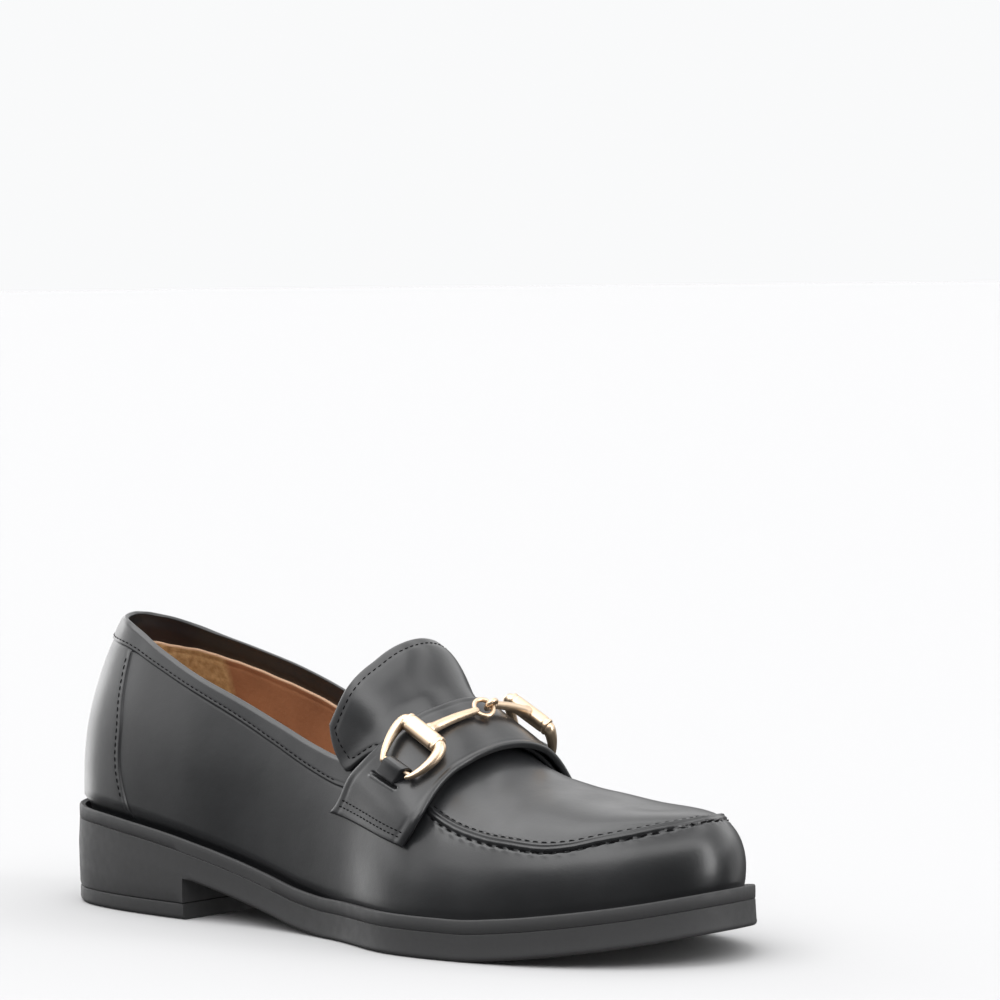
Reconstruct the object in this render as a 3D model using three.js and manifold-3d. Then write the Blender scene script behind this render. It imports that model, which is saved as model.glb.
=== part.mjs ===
// A leather loafer for the right foot, made as a shoemaker assembles it: top lift, outsole with its
// heel block, welt, insole, a hollow upper on the shape of a last, tongue, saddle strap, and a
// two-part metal snaffle held by a leather tab on each side.
// Millimetres. +X points to the toe, +Y to the inner (medial) side, +Z up. The origin is on the
// floor, under the middle of the outsole.
import * as THREE from "three";
import { mergeVertices } from "three/addons/utils/BufferGeometryUtils.js";
import Module from "manifold-3d";

const wasm = await Module();
wasm.setup();

// Driving dimensions of the bottom.
const LENGTH = 260; // outsole from heel to toe
const BALL_WIDTH = 94; // outsole across the ball of the foot
const HEEL_WIDTH = 68; // outsole across the heel
const HEEL_PITCH = 19.6; // underside of the outsole above the floor at the back
const TOE_SPRING = 9.5; // underside of the outsole above the floor at the toe
const OUTSOLE_THICKNESS = 8.1;
const WELT_THICKNESS = 4;
const TOP_LIFT_THICKNESS = 5;
const HEEL_LENGTH = 69; // from the back of the outsole to the heel breast
const EDGE_ROUNDING = 1.2; // on the lower edges of the outsole and top lift
const WELT_MARGIN_HEEL = 2.2; // how far the welt stands out past the upper
const WELT_MARGIN_TOE = 3.1;
const INSOLE_THICKNESS = 3;

// Driving dimensions of the upper and what is sewn on it.
const WALL = 2; // leather and lining together
const INSTEP_RISE = 75.5; // crown of the last above the outsole, at mid length
const TOE_RISE = 30; // crown above the outsole at the front of the toe box
const COLLAR_RISE = 64.8; // collar above the outsole at the back of the heel
const TOE_BOX_DEPTH = 24.5; // from the front of the upper back to the front end of the crown line
const HEEL_SEAT_DEPTH = 37; // from the back of the upper forward to the rear end of the crown line
const LASTING_MARGIN = 8; // edge of the upper turned in under the insole
const COLLAR_BAND_PROUD = 0.5;
const COUNTER_PROUD = 0.6;
const SEAM_WIDTH = 3.6; // raised seam that joins the plug to the apron
const SEAM_PROUD = 0.8;
const TONGUE_THICKNESS = 1.8;
const TONGUE_LIFT_LATERAL = 6; // how far the loose rear of the tongue stands off the last
const TONGUE_LIFT_MEDIAL = 7.5;
const STRAP_THICKNESS = 2.2;
const STRAP_SLACK = 0.4; // how much the strap stands off the tongue over the crown

// Driving dimensions of the snaffle.
const BARREL_LENGTH = 15.5;
const BARREL_WIDTH = 5.5;
const BARREL_THICKNESS = 4.4;
const BARREL_CLEARANCE = 1.1; // between the lateral barrel and the strap under it
const MEDIAL_STAND_OFF = 1.6; // how much further the medial barrel stands off the strap
const HORN_RADIUS = 2;
const HORN_START = 0.9; // share of the barrel's half length
const HORN_DEPTH = 0.8; // where the bow is widest, as a share of the way from barrel to rod
const HORN_ELBOW = 3.8; // how far the horn runs on in the line of the barrel before it turns
const HORN_BOW = 1.12; // half width at the bow, as a share of the barrel's half length
const CLOSE_HORN_ELBOW = 2.4; // the same for the medial front horn, which bows less
const CLOSE_HORN_BOW = 0.95;
const HORN_TIP_RADIUS = 0.75;
const HORN_TIP_REACH = 0.9; // of the tip past the rod
const ROD_RADIUS = 0.7;
const ROD_LENGTH = 12.4;
const ARM_RADIUS = 1.8; // at the barrel
const ARM_END_RADIUS = 1.2; // at the ring or eye
const RING_RADIUS = 3.1; // centre line of the ring on the lateral arm
const RING_WIRE_RADIUS = 0.75;
const RING_TILT = 12; // degrees that the ring leans forward
const EYE_WIRE_RADIUS = 0.8; // of the eye on the medial arm
const TAB_LENGTH = 4.8; // from the rod to the slit in the strap
const TAB_WIDTH = 8.6;
const TAB_THICKNESS = 0.8;

const GAP = 0.3; // between neighbouring pieces
const WELT_TOP = WELT_THICKNESS + GAP; // above the foot of the upper
const EYE_RADIUS = RING_WIRE_RADIUS + GAP + EYE_WIRE_RADIUS; // the eye passes round the ring's wire

const LATERAL = -1;
const MEDIAL = 1;

// Outline of the outsole. "at" is the share of the length from the back of the heel; the other two
// columns are shares of half the width there, which grows from heel width to ball width.
const OUTLINE = [
  { at: 0, lateral: 0.03, medial: 0.03 },
  { at: 0.02, lateral: -0.484, medial: 0.55 },
  { at: 0.06, lateral: -0.768, medial: 0.86 },
  { at: 0.13, lateral: -0.926, medial: 1.03 },
  { at: 0.25, lateral: -1.0, medial: 1.01 },
  { at: 0.4, lateral: -0.89, medial: 0.816 },
  { at: 0.52, lateral: -0.84, medial: 0.731 },
  { at: 0.64, lateral: -1.0, medial: 0.885 },
  { at: 0.75, lateral: -0.975, medial: 1.0 },
  { at: 0.85, lateral: -0.837, medial: 0.928 },
  { at: 0.93, lateral: -0.594, medial: 0.727 },
  { at: 0.975, lateral: -0.322, medial: 0.467 },
  { at: 0.995, lateral: -0.108, medial: 0.237 },
  { at: 1, lateral: 0.07, medial: 0.07 },
];

// Underside of the outsole: shares of the heel pitch and of the toe spring.
const UNDERSIDE = [
  { at: 0, pitch: 1, spring: 0 },
  { at: 0.1, pitch: 0.94, spring: 0 },
  { at: 0.17, pitch: 0.85, spring: 0 },
  { at: 0.24, pitch: 0.725, spring: 0 },
  { at: 0.3, pitch: 0.57, spring: 0 },
  { at: 0.345, pitch: 0.43, spring: 0 },
  { at: 0.395, pitch: 0.26, spring: 0 },
  { at: 0.46, pitch: 0.06, spring: 0 },
  { at: 0.51, pitch: 0, spring: 0 },
  { at: 0.74, pitch: 0, spring: 0 },
  { at: 0.8, pitch: 0, spring: 0.12 },
  { at: 0.86, pitch: 0, spring: 0.32 },
  { at: 0.94, pitch: 0, spring: 0.66 },
  { at: 1, pitch: 0, spring: 1 },
];

// Crown line of the last above the outsole: shares of the instep rise and of the toe rise.
const CROWN = [
  { at: 0.15, instep: 1.17, toe: 0 },
  { at: 0.2, instep: 1.167, toe: 0 },
  { at: 0.35, instep: 1.118, toe: 0 },
  { at: 0.45, instep: 1.07, toe: 0 },
  { at: 0.5, instep: 1.0, toe: 0 },
  { at: 0.56, instep: 0.882, toe: 0 },
  { at: 0.62, instep: 0.75, toe: 0 },
  { at: 0.66, instep: 0.655, toe: 0 },
  { at: 0.7, instep: 0.515, toe: 0.15 },
  { at: 0.75, instep: 0.364, toe: 0.4 },
  { at: 0.8, instep: 0.2, toe: 0.7 },
  { at: 0.85, instep: 0.074, toe: 0.9 },
  { at: 0.9, instep: 0, toe: 1 },
];

// Sections of the last. "boxy" is the power of the rounded section (2 is an ellipse), "belly" is
// how far its wall swells out, as a share of the wall swell at the heel.
const BELLY = 1.8;
const SECTIONS = [
  { at: 0, boxy: 1.75, belly: 1 },
  { at: 0.1, boxy: 1.65, belly: 1 },
  { at: 0.2, boxy: 1.6, belly: 1 },
  { at: 0.35, boxy: 1.75, belly: 0.67 },
  { at: 0.45, boxy: 1.95, belly: 0.33 },
  { at: 0.56, boxy: 2.0, belly: 0.17 },
  { at: 0.66, boxy: 2.05, belly: 0.27 },
  { at: 0.7, boxy: 2.2, belly: 0.33 },
  { at: 0.75, boxy: 2.4, belly: 0.33 },
  { at: 0.8, boxy: 2.7, belly: 0.33 },
  { at: 0.85, boxy: 3.0, belly: 0.33 },
  { at: 0.9, boxy: 3.4, belly: 0.33 },
  { at: 1, boxy: 4.0, belly: 0.33 },
];

// Height of the collar edge on each side, as shares of the collar rise, and the width of the band
// along it. From here on "around" runs from 0 at the back of the heel to 1 at the tip of the toe,
// along either side.
const COLLAR = [
  { at: 0, lateral: 0.994, medial: 0.994, band: 7.6 },
  { at: 0.03, lateral: 0.998, medial: 0.989, band: 7.6 },
  { at: 0.06, lateral: 0.996, medial: 0.978, band: 7.6 },
  { at: 0.1, lateral: 0.99, medial: 0.96, band: 7.6 },
  { at: 0.155, lateral: 0.978, medial: 0.925, band: 7.2 },
  { at: 0.206, lateral: 0.95, medial: 0.89, band: 6.2 },
  { at: 0.273, lateral: 0.887, medial: 0.86, band: 5.3 },
  { at: 0.334, lateral: 0.826, medial: 0.835, band: 5 },
  { at: 0.38, lateral: 0.796, medial: 0.812, band: 5.5 },
  { at: 0.422, lateral: 0.767, medial: 0.782, band: 6.2 },
  { at: 0.463, lateral: 0.742, medial: 0.75, band: 7 },
  { at: 0.501, lateral: 0.705, medial: 0.711, band: 7.6 },
  { at: 0.53, lateral: 0.68, medial: 0.68, band: 8 },
];
const THROAT_START = 0.51; // around, where the collar edge turns in under the tongue
const THROAT = 0.58; // around, where both edges meet on the crown

// The raised seam, as shares of a quarter turn from the sole up to the crown.
const SEAM = [
  { at: 0.5, turn: 0.5 },
  { at: 0.6, turn: 0.49 },
  { at: 0.658, turn: 0.461 },
  { at: 0.7, turn: 0.446 },
  { at: 0.74, turn: 0.438 },
  { at: 0.771, turn: 0.453 },
  { at: 0.805, turn: 0.488 },
  { at: 0.843, turn: 0.52 },
  { at: 0.889, turn: 0.56 },
  { at: 0.94, turn: 0.59 },
  { at: 1, turn: 0.61 },
];
const SEAM_START = 0.61;
const QUARTER_END = 0.5; // around, where the collar band gives way to the plug
const VAMP_BLEND = 0.05;

// Front edge of the counter, from the sole (turn 0) to the collar.
const COUNTER = [
  { turn: 0, around: 0.27 },
  { turn: 0.08, around: 0.248 },
  { turn: 0.16, around: 0.236 },
  { turn: 0.25, around: 0.231 },
  { turn: 0.33, around: 0.222 },
  { turn: 0.6, around: 0.196 },
];

// Rear and front edges of the saddle strap.
const STRAP = [
  { turn: 0.25, rear: 0.504, front: 0.6 },
  { turn: 0.29, rear: 0.512, front: 0.602 },
  { turn: 0.375, rear: 0.524, front: 0.61 },
  { turn: 0.45, rear: 0.536, front: 0.613 },
  { turn: 0.54, rear: 0.547, front: 0.613 },
  { turn: 0.65, rear: 0.556, front: 0.614 },
  { turn: 0.75, rear: 0.561, front: 0.617 },
  { turn: 0.87, rear: 0.566, front: 0.618 },
  { turn: 1, rear: 0.567, front: 0.618 },
];
const STRAP_END_REAR = 0.259; // turn of the two corners at each end of the strap
const STRAP_END_FRONT = 0.288;

// The tongue: its front edge under the strap, its rear edge and its side edge.
const TONGUE_FRONT = 0.609;
const TONGUE_REAR = 0.511;
const TONGUE_REAR_DRAWN_IN = 0.025; // how far the rear edge runs back towards its corners
const TONGUE_SIDE = 0.37; // turn of its side edges
const TONGUE_SIDE_UNDER_STRAP = 0.5;
const TONGUE_CORNER = 0.13; // how far the side edges turn in towards the rear corners
const TONGUE_RISE = 0.052; // around, over which the loose rear lifts off behind the strap

const LEATHER = { color: 0x2c2c2e, roughness: 0.42, metalness: 0 };
const RUBBER = { color: 0x1d1d1e, roughness: 0.72, metalness: 0 };
const LINING = { color: 0xa8703f, roughness: 0.8, metalness: 0 };
const GILT = { color: 0xd9b98a, roughness: 0.25, metalness: 1 };

// Number of steps from heel to toe on each side of the upper, and of the flat pieces.
const STEPS = 42;
const PLATE_STEPS = 36;

const clamp01 = (x) => Math.min(1, Math.max(0, x));
const mix = (a, b, share) => a + (b - a) * share;
const smooth = (x) => clamp01(x) ** 2 * (3 - 2 * clamp01(x));
const range = (count) => [...Array(count).keys()];

// Smooth curve through one column of a table, which never runs past its neighbouring rows.
function along(rows, column, at, key = "at") {
  const last = rows.length - 1;
  const place = Math.min(rows[last][key], Math.max(rows[0][key], at));
  const slope = (i) => (rows[i + 1][column] - rows[i][column]) / (rows[i + 1][key] - rows[i][key]);
  const tangent = (i) => {
    if (i === 0) return slope(0);
    if (i === last) return slope(last - 1);
    const before = slope(i - 1);
    const after = slope(i);
    return before * after <= 0 ? 0 : (2 * before * after) / (before + after);
  };
  let i = 0;
  while (i < last - 1 && rows[i + 1][key] <= place) i++;
  const step = rows[i + 1][key] - rows[i][key];
  const t = (place - rows[i][key]) / step;
  return (
    (2 * t ** 3 - 3 * t ** 2 + 1) * rows[i][column] +
    (t ** 3 - 2 * t ** 2 + t) * step * tangent(i) +
    (3 * t ** 2 - 2 * t ** 3) * rows[i + 1][column] +
    (t ** 3 - t ** 2) * step * tangent(i + 1)
  );
}

const lengthShare = (x) => x / LENGTH + 0.5;

function undersideHeight(x) {
  const at = lengthShare(x);
  return along(UNDERSIDE, "pitch", at) * HEEL_PITCH + along(UNDERSIDE, "spring", at) * TOE_SPRING;
}

const outsoleTop = (x) => undersideHeight(x) + OUTSOLE_THICKNESS;
const weltMargin = (x) => mix(WELT_MARGIN_HEEL, WELT_MARGIN_TOE, smooth((lengthShare(x) - 0.35) / 0.4));

// Outline of the outsole as a closed line of points, from the heel round the lateral side.
function outlinePoints() {
  const halfWidth = (at) => mix(HEEL_WIDTH, BALL_WIDTH, smooth((at - 0.3) / 0.32)) / 2;
  const point = (row, side) =>
    new THREE.Vector3((row.at - 0.5) * LENGTH, row[side] * halfWidth(row.at), 0);
  const lateral = OUTLINE.map((row) => point(row, "lateral"));
  const medial = OUTLINE.slice(1, -1).map((row) => point(row, "medial"));
  const curve = new THREE.CatmullRomCurve3([...lateral, ...medial.reverse()], true, "centripetal");
  const points = curve.getPoints(OUTLINE.length * 40).slice(0, -1);
  const box = new THREE.Box3().setFromPoints(points);
  const centre = box.getCenter(new THREE.Vector3());
  const size = box.getSize(new THREE.Vector3());
  return points.map(
    (p) =>
      new THREE.Vector3(
        ((p.x - centre.x) * LENGTH) / size.x,
        ((p.y - centre.y) * BALL_WIDTH) / size.y,
        0,
      ),
  );
}

const outline = outlinePoints();

// The outline moved inwards, split into its lateral and medial sides. Each side runs from the back
// of the heel to the tip of the toe.
function edgeLine(insetAt) {
  const count = outline.length;
  const line = outline.map((p, i) => {
    const ahead = outline[(i + 1) % count].clone().sub(outline[(i + count - 1) % count]).normalize();
    const inward = new THREE.Vector3(-ahead.y, ahead.x, 0);
    return { point: p.clone().addScaledVector(inward, insetAt(p.x)), inward };
  });
  const xs = line.map((p) => p.point.x);
  const rear = xs.indexOf(Math.min(...xs));
  const front = xs.indexOf(Math.max(...xs));
  const walk = (step) => {
    const found = [line[rear]];
    for (let i = (rear + step + count) % count; i !== front; i = (i + step + count) % count) {
      if (line[i].point.x > found[found.length - 1].point.x) found.push(line[i]);
    }
    return [...found, line[front]];
  };
  return { rear: xs[rear], front: xs[front], [LATERAL]: walk(1), [MEDIAL]: walk(-1) };
}

// Steps are closer together at heel and toe, where the outline turns.
const stationX = (line, around) =>
  mix(line.rear, line.front, (1 - Math.cos(Math.PI * clamp01(around))) / 2);

function edgeAt(line, side, x) {
  const points = line[side];
  let i = 0;
  while (i < points.length - 2 && points[i + 1].point.x < x) i++;
  const a = points[i];
  const b = points[i + 1];
  const share = clamp01((x - a.point.x) / (b.point.x - a.point.x));
  return {
    point: a.point.clone().lerp(b.point, share),
    inward: a.inward.clone().lerp(b.inward, share).normalize(),
  };
}

// The feather line, where the upper meets the sole.
const feather = edgeLine((x) => weltMargin(x) + GAP);

function crownHeight(x) {
  const at = lengthShare(x);
  const rise = along(CROWN, "instep", at) * INSTEP_RISE + along(CROWN, "toe", at) * TOE_RISE;
  return outsoleTop(x) + GAP + rise;
}

// How far up the section a height lies, as a share of a quarter turn.
const turnOfHeight = (share, boxy) =>
  Math.atan2(share, (1 - clamp01(share) ** boxy) ** (1 / boxy)) / (Math.PI / 2);

// One section of the last: the foot of its wall on the feather line, its end on the crown line
// and its powers. The crown line stops short of heel and toe, so sections fan out there.
const CENTRE_Y = 0.5;
const FAN = 2.15;
function section(side, around) {
  const x = stationX(feather, around);
  const foot = edgeAt(feather, side, x);
  const toeFan = clamp01((x - feather.front + FAN * TOE_BOX_DEPTH) / (FAN * TOE_BOX_DEPTH));
  const heelFan = clamp01((feather.rear + FAN * HEEL_SEAT_DEPTH - x) / (FAN * HEEL_SEAT_DEPTH));
  const crownX = x - TOE_BOX_DEPTH * toeFan ** 2 + HEEL_SEAT_DEPTH * heelFan ** 2;
  const base = outsoleTop(x) + GAP;
  return {
    foot: foot.point,
    inward: foot.inward,
    crown: new THREE.Vector3(crownX, CENTRE_Y, crownHeight(crownX)),
    base,
    rise: crownHeight(crownX) - base,
    boxy: along(SECTIONS, "boxy", lengthShare(x)),
    belly: along(SECTIONS, "belly", lengthShare(x)) * BELLY,
  };
}

const sectionCache = new Map();
function cachedSection(side, around) {
  const key = side + ":" + around.toFixed(7);
  if (!sectionCache.has(key)) sectionCache.set(key, section(side, around));
  return sectionCache.get(key);
}

// A point on the last. "turn" runs from 0 at the sole to 1 at the crown. The wall swells out only
// above the welt.
function lastPoint(side, around, turn) {
  const s = cachedSection(side, around);
  const angle = (clamp01(turn) * Math.PI) / 2;
  const c = Math.cos(angle);
  const h = Math.sin(angle);
  const radius = (c ** s.boxy + h ** s.boxy) ** (-1 / s.boxy);
  const share = radius * h;
  const reach = Math.hypot(s.foot.x - s.crown.x, s.foot.y - s.crown.y);
  const low = WELT_TOP / s.rise;
  const swellShare = clamp01((share - low) / (1 - low)) ** 0.7;
  const swell = (s.belly * (1 - Math.cos(2 * Math.PI * swellShare))) / 2;
  const out = Math.max(0, radius * c) + swell / reach;
  return new THREE.Vector3(
    mix(s.crown.x, s.foot.x, out),
    mix(s.crown.y, s.foot.y, out),
    s.base + s.rise * share,
  );
}

function sideNormal(side, around, turn) {
  const step = 1e-3;
  const ahead = lastPoint(side, Math.min(1, around + step), turn).sub(
    lastPoint(side, Math.max(0, around - step), turn),
  );
  const up = lastPoint(side, around, Math.min(1, turn + step)).sub(
    lastPoint(side, around, Math.max(0, turn - step)),
  );
  return ahead.cross(up).multiplyScalar(-side).normalize();
}

// Outward normal of the last. Where both sides share an edge it is the mean of the two.
function lastNormal(side, around, turn) {
  const normal = sideNormal(side, around, turn);
  const shared = turn > 1 - 1e-6 || around < 1e-6 || around > 1 - 1e-6;
  return shared ? normal.add(sideNormal(-side, around, turn)).normalize() : normal;
}

// A point at a height above the skin of the last.
const above = (side, around, turn, height) =>
  lastPoint(side, around, turn).addScaledVector(lastNormal(side, around, turn), height);

// Triangles of a grid of points: rows of equal length, joined row to row.
function gridFaces(rows, { wrapRows = false, wrapColumns = false, keep = () => true } = {}) {
  const faces = [];
  const rowCount = wrapRows ? rows.length : rows.length - 1;
  const columnCount = wrapColumns ? rows[0].length : rows[0].length - 1;
  for (const i of range(rowCount)) {
    for (const j of range(columnCount)) {
      if (!keep(i, j)) continue;
      const next = rows[(i + 1) % rows.length];
      const k = (j + 1) % rows[0].length;
      faces.push([rows[i][j], next[j], next[k]], [rows[i][j], next[k], rows[i][k]]);
    }
  }
  return faces;
}

// A closed mesh from triangles of points, turned so that its faces point out.
function closedGeometry(faces) {
  const raw = new THREE.BufferGeometry().setFromPoints(faces.flat());
  const merged = mergeVertices(raw, 1e-4);
  const position = merged.attributes.position;
  const index = [];
  for (const i of range(merged.index.count / 3)) {
    const [a, b, c] = [0, 1, 2].map((k) => merged.index.getX(3 * i + k));
    if (a !== b && b !== c && c !== a) index.push(a, b, c);
  }
  const corner = (i) => new THREE.Vector3().fromBufferAttribute(position, index[i]);
  let volume = 0;
  for (let i = 0; i < index.length; i += 3) {
    volume += corner(i).dot(corner(i + 1).cross(corner(i + 2)));
  }
  const geometry = new THREE.BufferGeometry().setAttribute("position", position);
  geometry.setIndex(volume < 0 ? index.reverse() : index);
  return geometry;
}

// Pieces that overlap, joined into one closed mesh.
function joined(geometries) {
  const solids = geometries.map(
    (g) =>
      new wasm.Manifold(
        new wasm.Mesh({
          numProp: 3,
          vertProperties: g.attributes.position.array,
          triVerts: new Uint32Array(g.index.array),
        }),
      ),
  );
  const mesh = solids.reduce((whole, piece) => whole.add(piece)).getMesh();
  return new THREE.BufferGeometry()
    .setAttribute("position", new THREE.BufferAttribute(mesh.vertProperties, 3))
    .setIndex(new THREE.BufferAttribute(mesh.triVerts, 1));
}

// A three.js geometry with only its shared corner points, ready to be joined.
function bare(geometry) {
  const copy = geometry.clone();
  copy.deleteAttribute("normal");
  copy.deleteAttribute("uv");
  return mergeVertices(copy, 1e-4);
}

// A flat piece of the sole. Each layer is an edge line and its height along the shoe, from the
// bottom up. It runs from the heel to the toe, or stops square at the place "until".
function plate(layers, until = Infinity) {
  const whole = until === Infinity;
  const steps = range(PLATE_STEPS + 1).map((i) => i / PLATE_STEPS);
  const places = (line) => {
    if (whole) return steps.map((step) => stationX(line, step));
    const end = Math.acos(1 - (2 * (until - line.rear)) / (line.front - line.rear)) / Math.PI;
    const few = Math.round(PLATE_STEPS / 2);
    return range(few + 1).map((i) => stationX(line, (end * i) / few));
  };
  const column = (side) =>
    layers.map(({ line, height }) =>
      places(line).map((x) => {
        const { point } = edgeAt(line, side, x);
        return new THREE.Vector3(point.x, point.y, height(x));
      }),
    );
  const lateral = column(LATERAL);
  const medial = column(MEDIAL);
  const top = layers.length - 1;
  const faces = [
    ...gridFaces(lateral),
    ...gridFaces([...medial].reverse()),
    ...gridFaces([medial[0], lateral[0]]),
    ...gridFaces([lateral[top], medial[top]]),
  ];
  if (!whole) {
    const end = (rows) => rows.map((row) => row[row.length - 1]);
    const rim = [...end(lateral), ...end(medial).reverse()];
    for (const i of range(rim.length - 2)) faces.push([rim[0], rim[i + 1], rim[i + 2]]);
  }
  return closedGeometry(faces);
}

const insetBy = (distance) => edgeLine(() => distance);

function outsole() {
  const breast = HEEL_LENGTH - LENGTH / 2;
  const soleEdge = [
    { line: insetBy(EDGE_ROUNDING), height: undersideHeight },
    { line: insetBy(0), height: (x) => undersideHeight(x) + EDGE_ROUNDING },
    { line: insetBy(EDGE_ROUNDING / 2), height: outsoleTop },
  ];
  const heelTop = (x) => undersideHeight(x) + OUTSOLE_THICKNESS / 2;
  const heelEdge = [
    { line: insetBy(EDGE_ROUNDING * 0.55), height: () => TOP_LIFT_THICKNESS + GAP },
    { line: insetBy(EDGE_ROUNDING * 0.27), height: heelTop },
  ];
  return joined([plate(soleEdge), plate(heelEdge, breast)]);
}

function topLift() {
  const breast = HEEL_LENGTH - LENGTH / 2;
  return plate(
    [
      { line: insetBy(EDGE_ROUNDING * 1.6), height: () => 0 },
      { line: insetBy(EDGE_ROUNDING * 0.6), height: () => EDGE_ROUNDING },
      { line: insetBy(EDGE_ROUNDING * 0.55), height: () => TOP_LIFT_THICKNESS },
    ],
    breast,
  );
}

function insole() {
  const seat = (x) => outsoleTop(x) + GAP + WALL + GAP;
  const boardInset = (x) => weltMargin(x) + GAP + WALL + 2 * GAP;
  const fillerInset = (x) => weltMargin(x) + GAP + LASTING_MARGIN + 3 * GAP;
  const board = edgeLine(boardInset);
  return plate([
    { line: edgeLine(fillerInset), height: (x) => outsoleTop(x) + GAP },
    { line: edgeLine(fillerInset), height: seat },
    { line: board, height: seat },
    { line: board, height: (x) => seat(x) + INSOLE_THICKNESS * 0.7 },
    { line: edgeLine((x) => boardInset(x) + 1), height: (x) => seat(x) + INSOLE_THICKNESS },
  ]);
}

// A strip all the way round the upper: a loop of edge lines and heights, from the heel round.
function ringAround(layers) {
  const station = (side, step) =>
    layers.map(({ line, height }) => {
      const x = stationX(line, step);
      const { point } = edgeAt(line, side, x);
      return new THREE.Vector3(point.x, point.y, height(x));
    });
  const steps = range(STEPS + 1).map((i) => i / STEPS);
  const lateral = steps.map((step) => station(LATERAL, step));
  const medial = steps.slice(1, -1).map((step) => station(MEDIAL, step));
  return closedGeometry(
    gridFaces([...lateral, ...medial.reverse()], { wrapRows: true, wrapColumns: true }),
  );
}

function welt() {
  const bottom = (x) => outsoleTop(x) + GAP;
  const top = (x) => outsoleTop(x) + GAP + WELT_THICKNESS;
  const outer = insetBy(EDGE_ROUNDING * 0.4);
  const inner = edgeLine(weltMargin);
  return ringAround([
    { line: outer, height: bottom },
    { line: outer, height: (x) => top(x) - EDGE_ROUNDING * 0.4 },
    { line: insetBy(EDGE_ROUNDING * 0.8), height: top },
    { line: inner, height: top },
    { line: inner, height: bottom },
  ]);
}

// Turn of the collar edge. Past the throat there is no edge and the section closes on the crown.
function edgeTurn(side, around) {
  if (around >= THROAT) return 1;
  const s = cachedSection(side, around);
  const share = along(COLLAR, side === LATERAL ? "lateral" : "medial", around);
  const collar = turnOfHeight((share * COLLAR_RISE) / s.rise, s.boxy);
  const turnIn = clamp01((around - THROAT_START) / (THROAT - THROAT_START));
  return mix(collar, 1, 1 - Math.sqrt(1 - turnIn ** 2));
}

// Millimetres for a whole turn, near one place on the last.
const turnLength = (side, around, turn) =>
  lastPoint(side, around, turn + 0.01).distanceTo(lastPoint(side, around, turn - 0.01)) / 0.02;

// Rows of the upper from the sole up: each has a turn and how proud the leather stands there. The
// step that is the collar band's lower edge at the quarters becomes the raised seam on the vamp.
function upperRows(side, around, onCounter) {
  const edge = edgeTurn(side, around);
  const scale = turnLength(side, around, Math.min(edge, 0.6));
  const vamp = smooth((around - QUARTER_END) / VAMP_BLEND);
  const seam = Math.min(along(SEAM, "turn", around), edge - 0.05);
  const half = SEAM_WIDTH / 2 / turnLength(side, around, seam);
  const band = edge - along(COLLAR, "band", around) / scale;
  const seamHeight = SEAM_PROUD * smooth((around - SEAM_START) / 0.02);
  const base = onCounter ? COUNTER_PROUD : 0;
  const bandProud = base + COLLAR_BAND_PROUD;
  const foot = mix(band - 0.3 / scale, seam - half, vamp);
  const { rise, boxy } = cachedSection(side, around);
  const weltTurn = turnOfHeight(WELT_TOP / rise, boxy);
  const wall = [0.06, 0.18, 0.32, 0.48, 0.64, 0.8, 0.92].map((share) => ({
    turn: mix(weltTurn, foot, share),
    proud: base,
  }));
  const step = [
    { turn: foot, proud: mix(base, 0, vamp) },
    { turn: mix(band + 0.3 / scale, seam - half * 0.45, vamp), proud: mix(bandProud, seamHeight, vamp) },
    { turn: mix(mix(band, edge, 0.3), seam + half * 0.35, vamp), proud: mix(bandProud, seamHeight, vamp) },
    { turn: mix(mix(band, edge, 0.5), seam + half, vamp), proud: mix(bandProud, seamHeight * 0.1, vamp) },
  ];
  const last = step[3].turn;
  const top = [0.2, 0.42, 0.66, 0.85, 1].map((share) => ({
    turn: mix(last, edge, share),
    proud: mix(bandProud, 0, vamp),
  }));
  return [{ turn: 0, proud: 0 }, { turn: weltTurn, proud: 0 }, ...wall, ...step, ...top];
}

// Where each step round the upper stands. The steps beside the counter follow its front edge.
const COUNTER_STEPS = 9;
const COUNTER_EDGE = 0.004;
const COUNTER_REACH = 0.42;
const REACH_STEPS = Math.round(STEPS * 0.4);
function aroundAt(step, turn) {
  const seam = along(COUNTER, "around", turn, "turn");
  if (step <= COUNTER_STEPS) return (seam * step) / COUNTER_STEPS;
  if (step <= REACH_STEPS) {
    const share = (step - COUNTER_STEPS - 1) / (REACH_STEPS - COUNTER_STEPS - 1);
    return mix(seam + COUNTER_EDGE, COUNTER_REACH, share);
  }
  return mix(COUNTER_REACH, 1, (step - REACH_STEPS) / (STEPS - REACH_STEPS));
}

function upperPoint(side, step, row) {
  const onCounter = step <= COUNTER_STEPS;
  const first = upperRows(side, aroundAt(step, 0.3), onCounter)[row];
  const second = upperRows(side, aroundAt(step, first.turn), onCounter)[row];
  const around = aroundAt(step, second.turn);
  return { around, ...upperRows(side, around, onCounter)[row] };
}

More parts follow.
